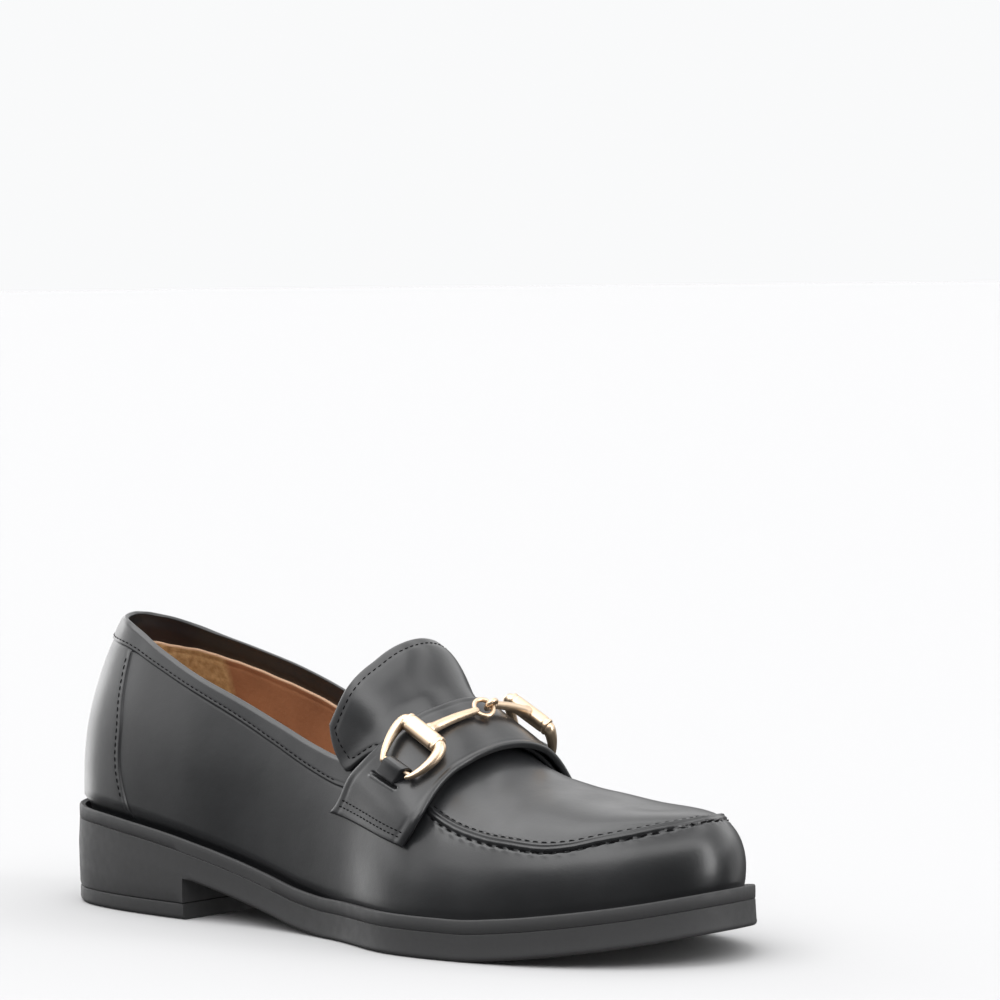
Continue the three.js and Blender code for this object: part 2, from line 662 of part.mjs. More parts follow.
function upper() {
  const rowCount = upperRows(LATERAL, 0.5, false).length;
  const column = (side, step) => {
    const rows = range(rowCount).map((row) => upperPoint(side, step, row));
    const outer = rows.map((r) => above(side, r.around, r.turn, r.proud));
    const edge = rows[rowCount - 1];
    const lining = rows.filter((r, i) => i % 2 !== rowCount % 2).map((r) => {
      const s = cachedSection(side, r.around);
      const lowest = turnOfHeight((WALL + GAP) / s.rise, s.boxy);
      return above(side, r.around, lowest + r.turn * (1 - lowest / edge.turn), -WALL);
    });
    const s = cachedSection(side, rows[0].around);
    const turnedIn = (inset, height) => {
      const point = s.foot.clone().addScaledVector(s.inward, inset);
      return point.setZ(outsoleTop(point.x) + GAP + height);
    };
    const upward = above(side, edge.around, Math.min(1, edge.turn), 0)
      .sub(above(side, edge.around, edge.turn - 0.02, 0))
      .normalize();
    const rim = outer[rowCount - 1].clone().lerp(lining[lining.length - 1], 0.5);
    rim.addScaledVector(upward, WALL * 0.3 * smooth((1 - edge.turn) / 0.2));
    return [
      turnedIn(LASTING_MARGIN, WALL),
      turnedIn(LASTING_MARGIN, 0),
      ...outer,
      rim,
      ...lining.reverse(),
      turnedIn(WALL, WALL),
    ];
  };
  const steps = range(STEPS + 1);
  const lateral = steps.map((step) => column(LATERAL, step));
  const medial = steps.slice(1, -1).map((step) => column(MEDIAL, step));
  const columns = [...lateral, ...medial.reverse()];
  const closed = [...steps, ...steps.slice(1, -1).reverse()].map(
    (step) => edgeTurn(LATERAL, aroundAt(step, 1)) >= 1,
  );
  const rimRow = 2 + rowCount;
  const keep = (i, j) =>
    !(closed[i] && closed[(i + 1) % columns.length] && (j === rimRow - 1 || j === rimRow));
  return closedGeometry(gridFaces(columns, { wrapRows: true, wrapColumns: true, keep }));
}

// A sheet of leather between two faces, each a grid of points.
function sheet(outer, inner) {
  const rows = outer.length - 1;
  const columns = outer[0].length - 1;
  const edge = (grid) => [
    ...grid[0],
    ...grid.slice(1, -1).map((row) => row[columns]),
    ...[...grid[rows]].reverse(),
    ...grid.slice(1, -1).map((row) => row[0]).reverse(),
  ];
  return closedGeometry([
    ...gridFaces(outer),
    ...gridFaces(inner.map((row) => [...row].reverse())),
    ...gridFaces([edge(outer), edge(inner)].reverse(), { wrapColumns: true }),
  ]);
}

// Height of the strap's lower face above the last: flat at its ends, over the tongue between.
const strapHeight = (turn) =>
  GAP +
  (TONGUE_THICKNESS + GAP) * smooth((turn - 0.29) / 0.13) +
  STRAP_SLACK * smooth((turn - 0.5) / 0.3);
const strapTop = (turn) => strapHeight(turn) + STRAP_THICKNESS;

function saddleStrap() {
  const face = (height) =>
    range(6).map((i) =>
      range(25).map((j) => {
        const across = j / 12 - 1;
        const side = across < 0 ? LATERAL : MEDIAL;
        const end = mix(STRAP_END_REAR, STRAP_END_FRONT, i / 5);
        const turn = 1 - Math.abs(across) * (1 - end);
        const [rear, front] = ["rear", "front"].map((edge) => along(STRAP, edge, turn, "turn"));
        const around = mix(rear, front, i / 5);
        return above(side, around, turn, height(turn));
      }),
    );
  return sheet(face(strapTop), face(strapHeight));
}

// The tongue lies on the plug under the strap, and its loose rear stands off the last.
function tongue() {
  const face = (depth) =>
    range(11).map((i) =>
      range(25).map((j) => {
        const back = i / 10;
        const across = j / 12 - 1;
        const side = across < 0 ? LATERAL : MEDIAL;
        const underStrap = smooth((0.76 - back) / 0.18);
        const sideEdge = mix(TONGUE_SIDE, TONGUE_SIDE_UNDER_STRAP, underStrap) + TONGUE_CORNER * back ** 6;
        const turn = 1 - Math.abs(across) * (1 - sideEdge);
        const rear = TONGUE_REAR - TONGUE_REAR_DRAWN_IN * ((1 - turn) / 0.6) ** 2;
        const around = mix(TONGUE_FRONT, rear, back);
        const behindStrap = along(STRAP, "rear", turn, "turn") + 0.003 - around;
        const free = smooth(behindStrap / TONGUE_RISE) * smooth((turn - 0.3) / 0.4);
        const towardsSide = clamp01(0.5 + across / 0.6);
        const lift = free * mix(TONGUE_LIFT_LATERAL, TONGUE_LIFT_MEDIAL, towardsSide);
        const overBand = COLLAR_BAND_PROUD * smooth(behindStrap / 0.02) * smooth((0.56 - turn) / 0.12);
        return above(side, around, turn, GAP + overBand + lift + depth);
      }),
    );
  return sheet(face(TONGUE_THICKNESS), face(0));
}

// A bar swept through stations, each with a centre, two directions across it and two half sizes.
function sweptBar(stations, sides, power = 2) {
  const rings = stations.map(({ centre, wide, thick, halfWidth, halfThickness }) =>
    range(sides).map((i) => {
      const angle = (2 * Math.PI * (i + 0.5)) / sides;
      const c = Math.cos(angle);
      const s = Math.sin(angle);
      const radius = (Math.abs(c) ** power + Math.abs(s) ** power) ** (-1 / power);
      return centre
        .clone()
        .addScaledVector(wide, radius * c * halfWidth)
        .addScaledVector(thick, radius * s * halfThickness);
    }),
  );
  const cap = (ring, centre) => ring.map((p, i) => [centre, p, ring[(i + 1) % sides]]);
  const last = rings.length - 1;
  return closedGeometry([
    ...gridFaces(rings, { wrapColumns: true }),
    ...cap(rings[0], stations[0].centre).map(([a, b, c]) => [a, b, c]),
    ...cap(rings[last], stations[last].centre).map(([a, b, c]) => [a, c, b]),
  ]);
}

// Stations along a curve, with one direction kept near "thick".
function stationsOn(curve, count, thick, halfWidth, halfThickness = halfWidth) {
  return range(count + 1).map((i) => {
    const share = i / count;
    const ahead = curve.getTangent(share);
    const wide = thick.clone().cross(ahead).normalize();
    return {
      centre: curve.getPoint(share),
      wide,
      thick: ahead.clone().cross(wide).normalize(),
      halfWidth: halfWidth(share),
      halfThickness: halfThickness(share),
    };
  });
}

// Where each half of the snaffle lies on the strap: the barrel near the crown, the rod out towards
// the strap end. Each line has the place of its rear and of its front end.
const BARREL_PLACE = [
  { side: LATERAL, rear: 0.564, rearTurn: 0.67, front: 0.597, frontTurn: 0.67 },
  { side: MEDIAL, rear: 0.564, rearTurn: 0.705, front: 0.597, frontTurn: 0.67 },
];
const ROD_PLACE = [
  { side: LATERAL, rear: 0.565, rearTurn: 0.52, front: 0.592, frontTurn: 0.52 },
  { side: MEDIAL, rear: 0.565, rearTurn: 0.535, front: 0.592, frontTurn: 0.535 },
];
const SLIT_AROUND = 0.5685; // of the slits in the strap that the tabs go down into
const onStrap = (side, around, turn, height) =>
  above(side, around, turn, strapTop(turn) + height);

function snaffleFrame(side) {
  const line = (places, height) => {
    const { rear, rearTurn, front, frontTurn } = places.find((place) => place.side === side);
    const start = onStrap(side, rear, rearTurn, height);
    const end = onStrap(side, front, frontTurn, height);
    return { middle: start.clone().lerp(end, 0.5), ahead: end.sub(start).normalize() };
  };
  const standOff = side === MEDIAL ? MEDIAL_STAND_OFF : 0;
  const barrelLine = line(BARREL_PLACE, BARREL_CLEARANCE + BARREL_THICKNESS / 2 + standOff);
  const rodLine = line(ROD_PLACE, 2 * GAP + TAB_THICKNESS + GAP + ROD_RADIUS);
  const barrel = barrelLine.middle;
  const rod = rodLine.middle;
  const ahead = barrelLine.ahead;
  const inward = barrel.clone().sub(rod);
  inward.addScaledVector(ahead, -inward.dot(ahead)).normalize();
  const face = ahead.clone().cross(inward).multiplyScalar(-side).normalize();
  return { barrel, rod, ahead, rodAhead: rodLine.ahead, inward, face };
}

// Where the two halves meet over the crown: the lateral ring leans on the strap, and the medial
// eye stands across its wire at "knot".
const KNOT_AROUND = 0.586;
const KNOT_Y = 1.2; // towards the medial side of the crown
function linkFrame() {
  const height = EYE_RADIUS + EYE_WIRE_RADIUS + 2 * GAP;
  const knot = onStrap(LATERAL, KNOT_AROUND, 1, height).add(new THREE.Vector3(0, KNOT_Y, 0));
  const reach = knot.clone().sub(snaffleFrame(LATERAL).barrel).normalize();
  const flat = lastNormal(LATERAL, KNOT_AROUND, 1);
  flat.addScaledVector(reach, -flat.dot(reach)).normalize();
  flat.applyAxisAngle(reach, THREE.MathUtils.degToRad(RING_TILT));
  return { knot, reach, flat, wireAhead: flat.clone().cross(reach) };
}

function hoop(centre, normal, radius, wireRadius) {
  const ring = bare(new THREE.TorusGeometry(radius, wireRadius, 6, 16));
  ring.applyQuaternion(new THREE.Quaternion().setFromUnitVectors(new THREE.Vector3(0, 0, 1), normal));
  return ring.translate(centre.x, centre.y, centre.z);
}

// One half of the snaffle: a barrel, two horns that taper down to the ends of a rod, and an arm
// with a ring or an eye.
function snaffleHalf(side) {
  const { barrel, rod, ahead, rodAhead, inward, face } = snaffleFrame(side);
  const barrelHalf = ahead.clone().multiplyScalar(BARREL_LENGTH / 2);
  const rodHalf = rodAhead.clone().multiplyScalar(ROD_LENGTH / 2);
  const barrelLine = new THREE.LineCurve3(barrel.clone().sub(barrelHalf), barrel.clone().add(barrelHalf));
  const bar = sweptBar(
    stationsOn(barrelLine, 6, face, () => BARREL_WIDTH / 2, () => BARREL_THICKNESS / 2),
    12,
    2.6,
  );
  const horn = (end) => {
    const close = side === MEDIAL && end > 0;
    const from = barrel.clone().addScaledVector(barrelHalf, end * HORN_START);
    const elbow = from.clone().addScaledVector(ahead, end * (close ? CLOSE_HORN_ELBOW : HORN_ELBOW));
    const bow = barrel.clone().lerp(rod, HORN_DEPTH);
    bow.addScaledVector(barrelHalf, end * (close ? CLOSE_HORN_BOW : HORN_BOW));
    const tip = rod.clone().addScaledVector(rodHalf, end).addScaledVector(inward, -HORN_TIP_REACH);
    const curve = new THREE.CubicBezierCurve3(from, elbow, bow, tip);
    const taper = (share) => mix(HORN_RADIUS, HORN_TIP_RADIUS, share ** 1.5);
    return sweptBar(stationsOn(curve, 7, face, taper), 8);
  };
  const pin = sweptBar(
    stationsOn(
      new THREE.LineCurve3(rod.clone().sub(rodHalf), rod.clone().add(rodHalf)),
      1,
      face,
      () => ROD_RADIUS,
    ),
    10,
  );
  const { knot, reach, flat, wireAhead } = linkFrame();
  const ringCentre = knot.clone().addScaledVector(reach, -RING_RADIUS);
  const towards = barrel.clone().sub(knot);
  towards.addScaledVector(wireAhead, -towards.dot(wireAhead)).normalize();
  const armEnd =
    side === LATERAL
      ? ringCentre.clone().addScaledVector(reach, -RING_RADIUS)
      : knot.clone().addScaledVector(towards, EYE_RADIUS);
  const armMiddle = barrel.clone().lerp(armEnd, 0.5).addScaledVector(face, ARM_RADIUS);
  const arm = sweptBar(
    stationsOn(new THREE.QuadraticBezierCurve3(barrel, armMiddle, armEnd), 4, face, (share) =>
      mix(ARM_RADIUS, ARM_END_RADIUS, share),
    ),
    10,
  );
  const ring =
    side === LATERAL
      ? hoop(ringCentre, flat, RING_RADIUS, RING_WIRE_RADIUS)
      : hoop(knot, wireAhead, EYE_RADIUS, EYE_WIRE_RADIUS);
  return joined([bar, horn(-1), horn(1), pin, arm, ring]);
}

// The leather tab folded round the rod of one half, its two ends laid together and led down to a
// slit in the strap.
function snaffleTab(side) {
  const { rod, rodAhead, inward } = snaffleFrame(side);
  const along = inward.clone().addScaledVector(rodAhead, -inward.dot(rodAhead)).normalize();
  const up = rodAhead.clone().cross(along).multiplyScalar(-side);
  const { rearTurn } = ROD_PLACE.find((place) => place.side === side);
  const slitTurn = rearTurn - TAB_LENGTH / turnLength(side, SLIT_AROUND, rearTurn);
  const slit = onStrap(side, SLIT_AROUND, slitTurn, 2 * GAP).sub(rod);
  const foot = new THREE.Vector2(slit.dot(along), slit.dot(up));
  const top = new THREE.Vector2(foot.x, foot.y + TAB_THICKNESS);
  const holeRadius = ROD_RADIUS + GAP;
  const radius = holeRadius + TAB_THICKNESS;
  const leaves = top.angle() - Math.acos(radius / top.length());
  const shape = new THREE.Shape();
  shape.absarc(0, 0, radius, -Math.PI / 2, leaves, false);
  shape.lineTo(top.x, top.y);
  shape.lineTo(foot.x, foot.y);
  shape.closePath();
  shape.holes.push(new THREE.Path().absarc(0, 0, holeRadius, 0, 2 * Math.PI, true));
  const loop = new THREE.ExtrudeGeometry(shape, {
    depth: TAB_WIDTH,
    bevelEnabled: false,
    curveSegments: 12,
  });
  loop.translate(0, 0, -TAB_WIDTH / 2);
  const across = rodAhead.clone().multiplyScalar(-side);
  const slanted = along.clone().addScaledVector(rodAhead, slit.dot(rodAhead) / foot.x);
  loop.applyMatrix4(new THREE.Matrix4().makeBasis(slanted, up, across).setPosition(rod));
  return bare(loop);
}

const shoe = new THREE.Group();
function add(name, geometry, finish) {
  const piece = new THREE.Mesh(geometry, new THREE.MeshStandardMaterial(finish));
  piece.name = name;
  shoe.add(piece);
}

add("heel_top_lift", topLift(), RUBBER);
add("outsole", outsole(), RUBBER);
add("welt", welt(), RUBBER);
add("insole", insole(), LINING);
add("upper", upper(), LEATHER);
add("tongue", tongue(), LEATHER);
add("saddle_strap", saddleStrap(), LEATHER);
add("bit_tab_lateral", snaffleTab(LATERAL), LEATHER);
add("bit_tab_medial", snaffleTab(MEDIAL), LEATHER);
add("bit_half_lateral", snaffleHalf(LATERAL), GILT);
add("bit_half_medial", snaffleHalf(MEDIAL), GILT);

export default shoe;
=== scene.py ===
import math

import bpy
import numpy as np
from mathutils import Matrix, Vector


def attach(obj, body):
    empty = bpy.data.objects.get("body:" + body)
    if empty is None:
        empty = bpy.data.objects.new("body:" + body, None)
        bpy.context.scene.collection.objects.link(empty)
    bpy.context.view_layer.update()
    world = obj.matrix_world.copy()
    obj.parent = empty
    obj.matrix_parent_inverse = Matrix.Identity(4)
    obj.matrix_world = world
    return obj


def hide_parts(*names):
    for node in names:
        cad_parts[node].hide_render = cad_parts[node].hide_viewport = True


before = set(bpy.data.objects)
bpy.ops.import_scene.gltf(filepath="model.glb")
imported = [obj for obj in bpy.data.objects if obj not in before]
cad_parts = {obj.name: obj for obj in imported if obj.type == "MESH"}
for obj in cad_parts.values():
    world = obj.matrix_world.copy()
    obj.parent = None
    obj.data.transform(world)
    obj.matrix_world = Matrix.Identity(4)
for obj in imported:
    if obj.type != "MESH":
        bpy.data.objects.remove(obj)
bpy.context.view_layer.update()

# Camera
# The view of the photo: a long lens a little above the sole, from the outer side and ahead.
MM = 0.001
AZIMUTH, ELEVATION, ROLL = map(math.radians, (41.073, 2.944, -0.67))
DISTANCE, TARGET = 1322.73, Vector((43.093, 1.0, 132.969))
level = Vector((math.cos(AZIMUTH), math.sin(AZIMUTH), 0))
back = Vector((
    math.sin(AZIMUTH) * math.cos(ELEVATION),
    -math.cos(AZIMUTH) * math.cos(ELEVATION),
    math.sin(ELEVATION),
))
upright = back.cross(level)
right = level * math.cos(ROLL) + upright * math.sin(ROLL)
up = upright * math.cos(ROLL) - level * math.sin(ROLL)
camera = bpy.data.objects.new("camera", bpy.data.cameras.new("camera"))
camera.data.sensor_width = 36
camera.data.lens = 4.37128 * 36
camera.data.clip_end = 100
camera.matrix_world = Matrix.Translation((TARGET + back * DISTANCE) * MM) @ Matrix(
    (right, up, back)
).transposed().to_4x4()
bpy.context.scene.collection.objects.link(camera)
bpy.context.scene.camera = camera

# Stage
# A pale floor that runs into a white surround. Reflections see a studio: dark below, one band of
# light ahead of the shoe and another behind it, a tall strip at the right and a dim panel at the
# left. Four broad soft suns light the shoe from above, both sides and the front.
bpy.context.scene.view_settings.view_transform = "Standard"
world = bpy.data.worlds.new("surround")
bpy.context.scene.world = world
world.use_nodes = True
tree = world.node_tree
behind = tree.nodes["Background"]
behind.inputs["Color"].default_value = (0.95, 0.955, 0.96, 1)
studio = tree.nodes.new("ShaderNodeBackground")
place = tree.nodes.new("ShaderNodeTexCoord")
split = tree.nodes.new("ShaderNodeSeparateXYZ")
tree.links.new(place.outputs["Generated"], split.inputs["Vector"])


def grey_ramp(tree, value, stops):
    """A brightness from stops of (place, brightness)."""
    ramp = tree.nodes.new("ShaderNodeValToRGB")
    ramp.color_ramp.interpolation = "EASE"
    points = ramp.color_ramp.elements
    while len(points) < len(stops):
        points.new(0.5)
    for point, (position, brightness) in zip(points, stops):
        point.position = position
        point.color = (brightness, brightness, brightness, 1)
    tree.links.new(value, ramp.inputs["Fac"])
    return ramp.outputs["Color"]


def ranged(tree, value, low, high, source=(0.3, 0.7)):
    """A value taken from one range to another."""
    node = tree.nodes.new("ShaderNodeMapRange")
    for key, number in zip(("From Min", "From Max", "To Min", "To Max"), (*source, low, high)):
        node.inputs[key].default_value = number
    tree.links.new(value, node.inputs["Value"])
    return node.outputs["Result"]


def blended(tree, share, first, second, way="MIX"):
    """A colour between two, or one laid over the other, by a value or a number."""
    node = tree.nodes.new("ShaderNodeMix")
    node.data_type = "RGBA"
    node.blend_type = way
    for socket, colour in zip([s for s in node.inputs if s.type == "RGBA"], (first, second)):
        if isinstance(colour, tuple):
            socket.default_value = (*colour, 1)
        else:
            tree.links.new(colour, socket)
    if isinstance(share, int):
        node.inputs[0].default_value = share
    else:
        tree.links.new(share, node.inputs[0])
    return [s for s in node.outputs if s.type == "RGBA"][0]


def leaning(tree, direction):
    """How far a look direction leans towards another, from -1 to 1."""
    node = tree.nodes.new("ShaderNodeVectorMath")
    node.operation = "DOT_PRODUCT"
    node.inputs[1].default_value = direction
    tree.links.new(place.outputs["Generated"], node.inputs[0])
    return node.outputs["Value"]


height = ranged(tree, split.outputs["Z"], 0, 1, (-1, 1))
towards_camera = leaning(tree, (math.sin(AZIMUTH), -math.cos(AZIMUTH), 0))
front = grey_ramp(tree, height, [
    (0.4, 0.1), (0.52, 0.16), (0.71, 0.25), (0.78, 2.8), (0.84, 3.3), (0.9, 1.5), (0.96, 0.6),
])
rear = grey_ramp(tree, height, [
    (0.4, 0.1), (0.53, 0.12), (0.57, 0.4), (0.62, 1.15), (0.68, 1.1), (0.78, 0.95), (0.85, 0.9),
    (0.9, 2.4), (0.96, 0.8),
])
bands = blended(tree, ranged(tree, towards_camera, 0, 1, (-0.05, 0.45)), rear, front)
heading = tree.nodes.new("ShaderNodeMath")
heading.operation = "ARCTAN2"
tree.links.new(leaning(tree, (math.cos(AZIMUTH), math.sin(AZIMUTH), 0)), heading.inputs[0])
tree.links.new(towards_camera, heading.inputs[1])
panels = grey_ramp(tree, ranged(tree, heading.outputs["Value"], 0, 1, (-math.pi, math.pi)), [
    (0.06, 0), (0.13, 1.0), (0.2, 0.65), (0.25, 0.4), (0.3, 0),
    (0.65, 0), (0.68, 5.5), (0.7, 5.5), (0.73, 0),
])
panel_heights = grey_ramp(tree, height, [(0.36, 0), (0.46, 1), (0.68, 1), (0.82, 0)])
side_light = blended(tree, 1, panels, panel_heights, "MULTIPLY")
tree.links.new(blended(tree, 1, bands, side_light, "ADD"), studio.inputs["Color"])
ray = tree.nodes.new("ShaderNodeLightPath")
choice = tree.nodes.new("ShaderNodeMixShader")
tree.links.new(ray.outputs["Is Camera Ray"], choice.inputs[0])
tree.links.new(studio.outputs[0], choice.inputs[1])
tree.links.new(behind.outputs[0], choice.inputs[2])
tree.links.new(choice.outputs[0], tree.nodes["World Output"].inputs["Surface"])


def broad_light(name, direction, spread, strength):
    """A far soft light: direction it comes from, width in degrees, strength on a facing sheet."""
    light = bpy.data.lights.new(name, "SUN")
    light.angle = math.radians(spread)
    light.energy = strength
    lamp = bpy.data.objects.new(name, light)
    lamp.rotation_mode = "QUATERNION"
    lamp.rotation_quaternion = Vector(direction).to_track_quat("Z", "Y")
    bpy.context.scene.collection.objects.link(lamp)


broad_light("overhead", (-0.15, -0.18, 0.97), 60, 1.4)
broad_light("left", (-0.95, 0.26, 0.12), 50, 0.9)
broad_light("key", (0.26, -0.76, 0.6), 40, 0.25)
broad_light("right_behind", (0.24, 0.96, 0.12), 50, 0.25)

floor_mesh = bpy.data.meshes.new("floor")
reach = 60
floor_mesh.from_pydata(
    [(-reach, -reach, 0), (reach, -reach, 0), (reach, reach, 0), (-reach, reach, 0)],
    [],
    [(0, 1, 2, 3)],
)
floor = bpy.data.objects.new("floor", floor_mesh)
floor.location.z = -0.1 * MM
floor.visible_glossy = False
bpy.context.scene.collection.objects.link(floor)
floor_paint = bpy.data.materials.new("floor")
floor_paint.use_nodes = True
floor_surface = floor_paint.node_tree.nodes["Principled BSDF"]
floor_surface.inputs["Base Color"].default_value = (0.505, 0.505, 0.51, 1)
floor_surface.inputs["Roughness"].default_value = 0.9
floor_surface.inputs["Specular IOR Level"].default_value = 0.0
floor_mesh.materials.append(floor_paint)

# Outsole with its heel block
# One rubber moulding, near black and matt: 8.1 mm thick at the edge, with arch and toe spring,
# and a heel block whose side runs straight on from the sole's edge.
LENGTH, BALL_WIDTH, HEEL_WIDTH = 260, 94, 68
HEEL_PITCH, TOE_SPRING, SOLE = 19.6, 9.5, 8.1
WELT, TOP_LIFT, HEEL_LENGTH, GAP = 4.0, 5.0, 69, 0.3
LATERAL, MEDIAL = -1, 1
SIDES = (LATERAL, MEDIAL)
OUTLINE = [  # share of the length, lateral and medial share of the half width
    (0, 0.03, 0.03), (0.02, -0.484, 0.55), (0.06, -0.768, 0.86), (0.13, -0.926, 1.03),
    (0.25, -1.0, 1.01), (0.4, -0.89, 0.816), (0.52, -0.84, 0.731), (0.64, -1.0, 0.885),
    (0.75, -0.975, 1.0), (0.85, -0.837, 0.928), (0.93, -0.594, 0.727), (0.975, -0.322, 0.467),
    (0.995, -0.108, 0.237), (1, 0.07, 0.07),
]
UNDERSIDE = [  # share of the length, share of the heel pitch, share of the toe spring
    (0, 1, 0), (0.1, 0.94, 0), (0.17, 0.85, 0), (0.24, 0.725, 0), (0.3, 0.57, 0),
    (0.345, 0.43, 0), (0.395, 0.26, 0), (0.46, 0.06, 0), (0.51, 0, 0), (0.74, 0, 0),
    (0.8, 0, 0.12), (0.86, 0, 0.32), (0.94, 0, 0.66), (1, 0, 1),
]


def smooth(x):
    x = np.clip(x, 0, 1)
    return x * x * (3 - 2 * x)


def mix(a, b, share):
    return a + (b - a) * share


def along(rows, column, at, key=0):
    """Smooth curve through one column of a table, which never runs past its neighbouring rows."""
    table = np.array(rows, float)
    k, v = table[:, key], table[:, column]
    at = np.clip(at, k[0], k[-1])
    slope = np.diff(v) / np.diff(k)
    tangent = np.concatenate([slope[:1], np.zeros(len(v) - 2), slope[-1:]])
    same = slope[:-1] * slope[1:] > 0
    total = np.where(same, slope[:-1] + slope[1:], 1)
    tangent[1:-1] = np.where(same, 2 * slope[:-1] * slope[1:] / total, 0)
    i = np.clip(np.searchsorted(k, at, side="right") - 1, 0, len(k) - 2)
    h = k[i + 1] - k[i]
    t = (at - k[i]) / h
    return (
        (2 * t**3 - 3 * t**2 + 1) * v[i]
        + (t**3 - 2 * t**2 + t) * h * tangent[i]
        + (3 * t**2 - 2 * t**3) * v[i + 1]
        + (t**3 - t**2) * h * tangent[i + 1]
    )


def underside(x):
    at = x / LENGTH + 0.5
    return along(UNDERSIDE, 1, at) * HEEL_PITCH + along(UNDERSIDE, 2, at) * TOE_SPRING


def outsole_top(x):
    return underside(x) + SOLE


def welt_margin(x):
    return mix(2.2, 3.1, smooth((x / LENGTH + 0.5 - 0.35) / 0.4))


def outline_points():
    def half_width(at):
        return mix(HEEL_WIDTH, BALL_WIDTH, smooth((at - 0.3) / 0.32)) / 2

    knots = [((a - 0.5) * LENGTH, lateral * half_width(a)) for a, lateral, medial in OUTLINE]
    knots += [
        ((a - 0.5) * LENGTH, medial * half_width(a)) for a, lateral, medial in OUTLINE[-2:0:-1]
    ]
    knots = np.array(knots)
    found = []
    for i in range(len(knots)):
        p = [knots[(i + k) % len(knots)] for k in (-1, 0, 1, 2)]
        d = [math.sqrt(np.linalg.norm(p[k + 1] - p[k])) for k in range(3)]
        start = (p[1] - p[0]) / d[0] - (p[2] - p[0]) / (d[0] + d[1]) + (p[2] - p[1]) / d[1]
        end = (p[2] - p[1]) / d[1] - (p[3] - p[1]) / (d[1] + d[2]) + (p[3] - p[2]) / d[2]
        t = (np.arange(60) / 60)[:, None]
        a, b = start * d[1], end * d[1]
        found.append(
            p[1]
            + a * t
            + (-3 * p[1] + 3 * p[2] - 2 * a - b) * t**2
            + (2 * p[1] - 2 * p[2] + a + b) * t**3
        )
    line = np.concatenate(found)
    low, high = line.min(0), line.max(0)
    return (line - (low + high) / 2) * np.array([LENGTH, BALL_WIDTH]) / (high - low)


OUTSOLE_LINE = outline_points()


def edge_line(inset):
    """The outline moved inwards. Each side is x, y and the inward direction, heel to toe."""
    ahead = np.roll(OUTSOLE_LINE, -1, 0) - np.roll(OUTSOLE_LINE, 1, 0)
    ahead /= np.linalg.norm(ahead, axis=1, keepdims=True)
    inward = np.stack([-ahead[:, 1], ahead[:, 0]], 1)
    by = inset(OUTSOLE_LINE[:, 0]) if callable(inset) else inset
    line = OUTSOLE_LINE + inward * np.reshape(by, (-1, 1))
    count = len(line)
    rear, front = line[:, 0].argmin(), line[:, 0].argmax()
    sides = {}
    for side, step in ((LATERAL, 1), (MEDIAL, -1)):
        steps = range((step * (front - rear)) % count + 1)
        run = [(rear + step * k) % count for k in steps]
        kept = [run[0]]
        for k in run[1:]:
            if line[k, 0] > line[kept[-1], 0]:
                kept.append(k)
        sides[side] = np.concatenate([line[kept], inward[kept]], 1)
    return sides


def station_x(line, around):
    low, high = line[LATERAL][0, 0], line[LATERAL][-1, 0]
    return mix(low, high, (1 - np.cos(np.pi * np.clip(around, 0, 1))) / 2)


def edge_at(line, side, x):
    """y and inward direction of an edge line at x."""
    points = line[side]
    y, inward_x, inward_y = (np.interp(x, points[:, 0], points[:, k]) for k in (1, 2, 3))
    size = np.hypot(inward_x, inward_y)
    return y, inward_x / size, inward_y / size


def ring_stack(layers, steps, until=None):
    """Points of stacked half rings, heel to toe: (layer, side, point, 3). Each layer is an edge
    line and its height along the shoe."""
    share = np.arange(steps + 1) / steps
    rings = []
    for line, height in layers:
        if until is None:
            x = station_x(line, share)
        else:
            low, high = line[LATERAL][0, 0], line[LATERAL][-1, 0]
            end = math.acos(1 - 2 * (until - low) / (high - low)) / math.pi
            x = station_x(line, share * end)
        rings.append([np.stack([x, edge_at(line, side, x)[0], height(x)], 1) for side in SIDES])
    return np.array(rings)


def quads(grid, wrap_rows=False, wrap_columns=False):
    """Corner points of every quad of a grid of points: (quad, corner, 3)."""
    rows = [grid] if not wrap_rows else [grid, grid[:1]]
    full = np.concatenate(rows)
    if wrap_columns:
        full = np.concatenate([full, full[:, :1]], 1)
    corners = (full[:-1, :-1], full[1:, :-1], full[1:, 1:], full[:-1, 1:])
    return np.stack(corners, 2).reshape(-1, 4, 3)


def closed_stack(stack):
    """Faces of a stack of half rings: both sides, underside and top."""
    lateral, medial = stack[:, 0], stack[:, 1]
    return [
        quads(lateral),
        quads(medial[::-1]),
        quads(np.array([medial[0], lateral[0]])),
        quads(np.array([lateral[-1], medial[-1]])),
    ]


def welded(faces):
    """Points and polygons of one closed form that face out, and each point's first corner."""
    corners = np.round(np.concatenate(faces).reshape(-1, 3), 4) + 0.0
    points, first, index = np.unique(corners, axis=0, return_index=True, return_inverse=True)
    index = index.reshape(-1, 4)
    a, b, c, d = (points[index[:, k]] for k in range(4))
    outwards = 1 if np.sum(a * (np.cross(b, c) + np.cross(c, d))) > 0 else -1
    polygons = []
    for quad in index.tolist():
        loop = [quad[k] for k in range(4) if quad[k] != quad[k - 1]]
        if len(set(loop)) == len(loop) > 2:
            polygons.append(loop[::outwards])
    return points, polygons, first


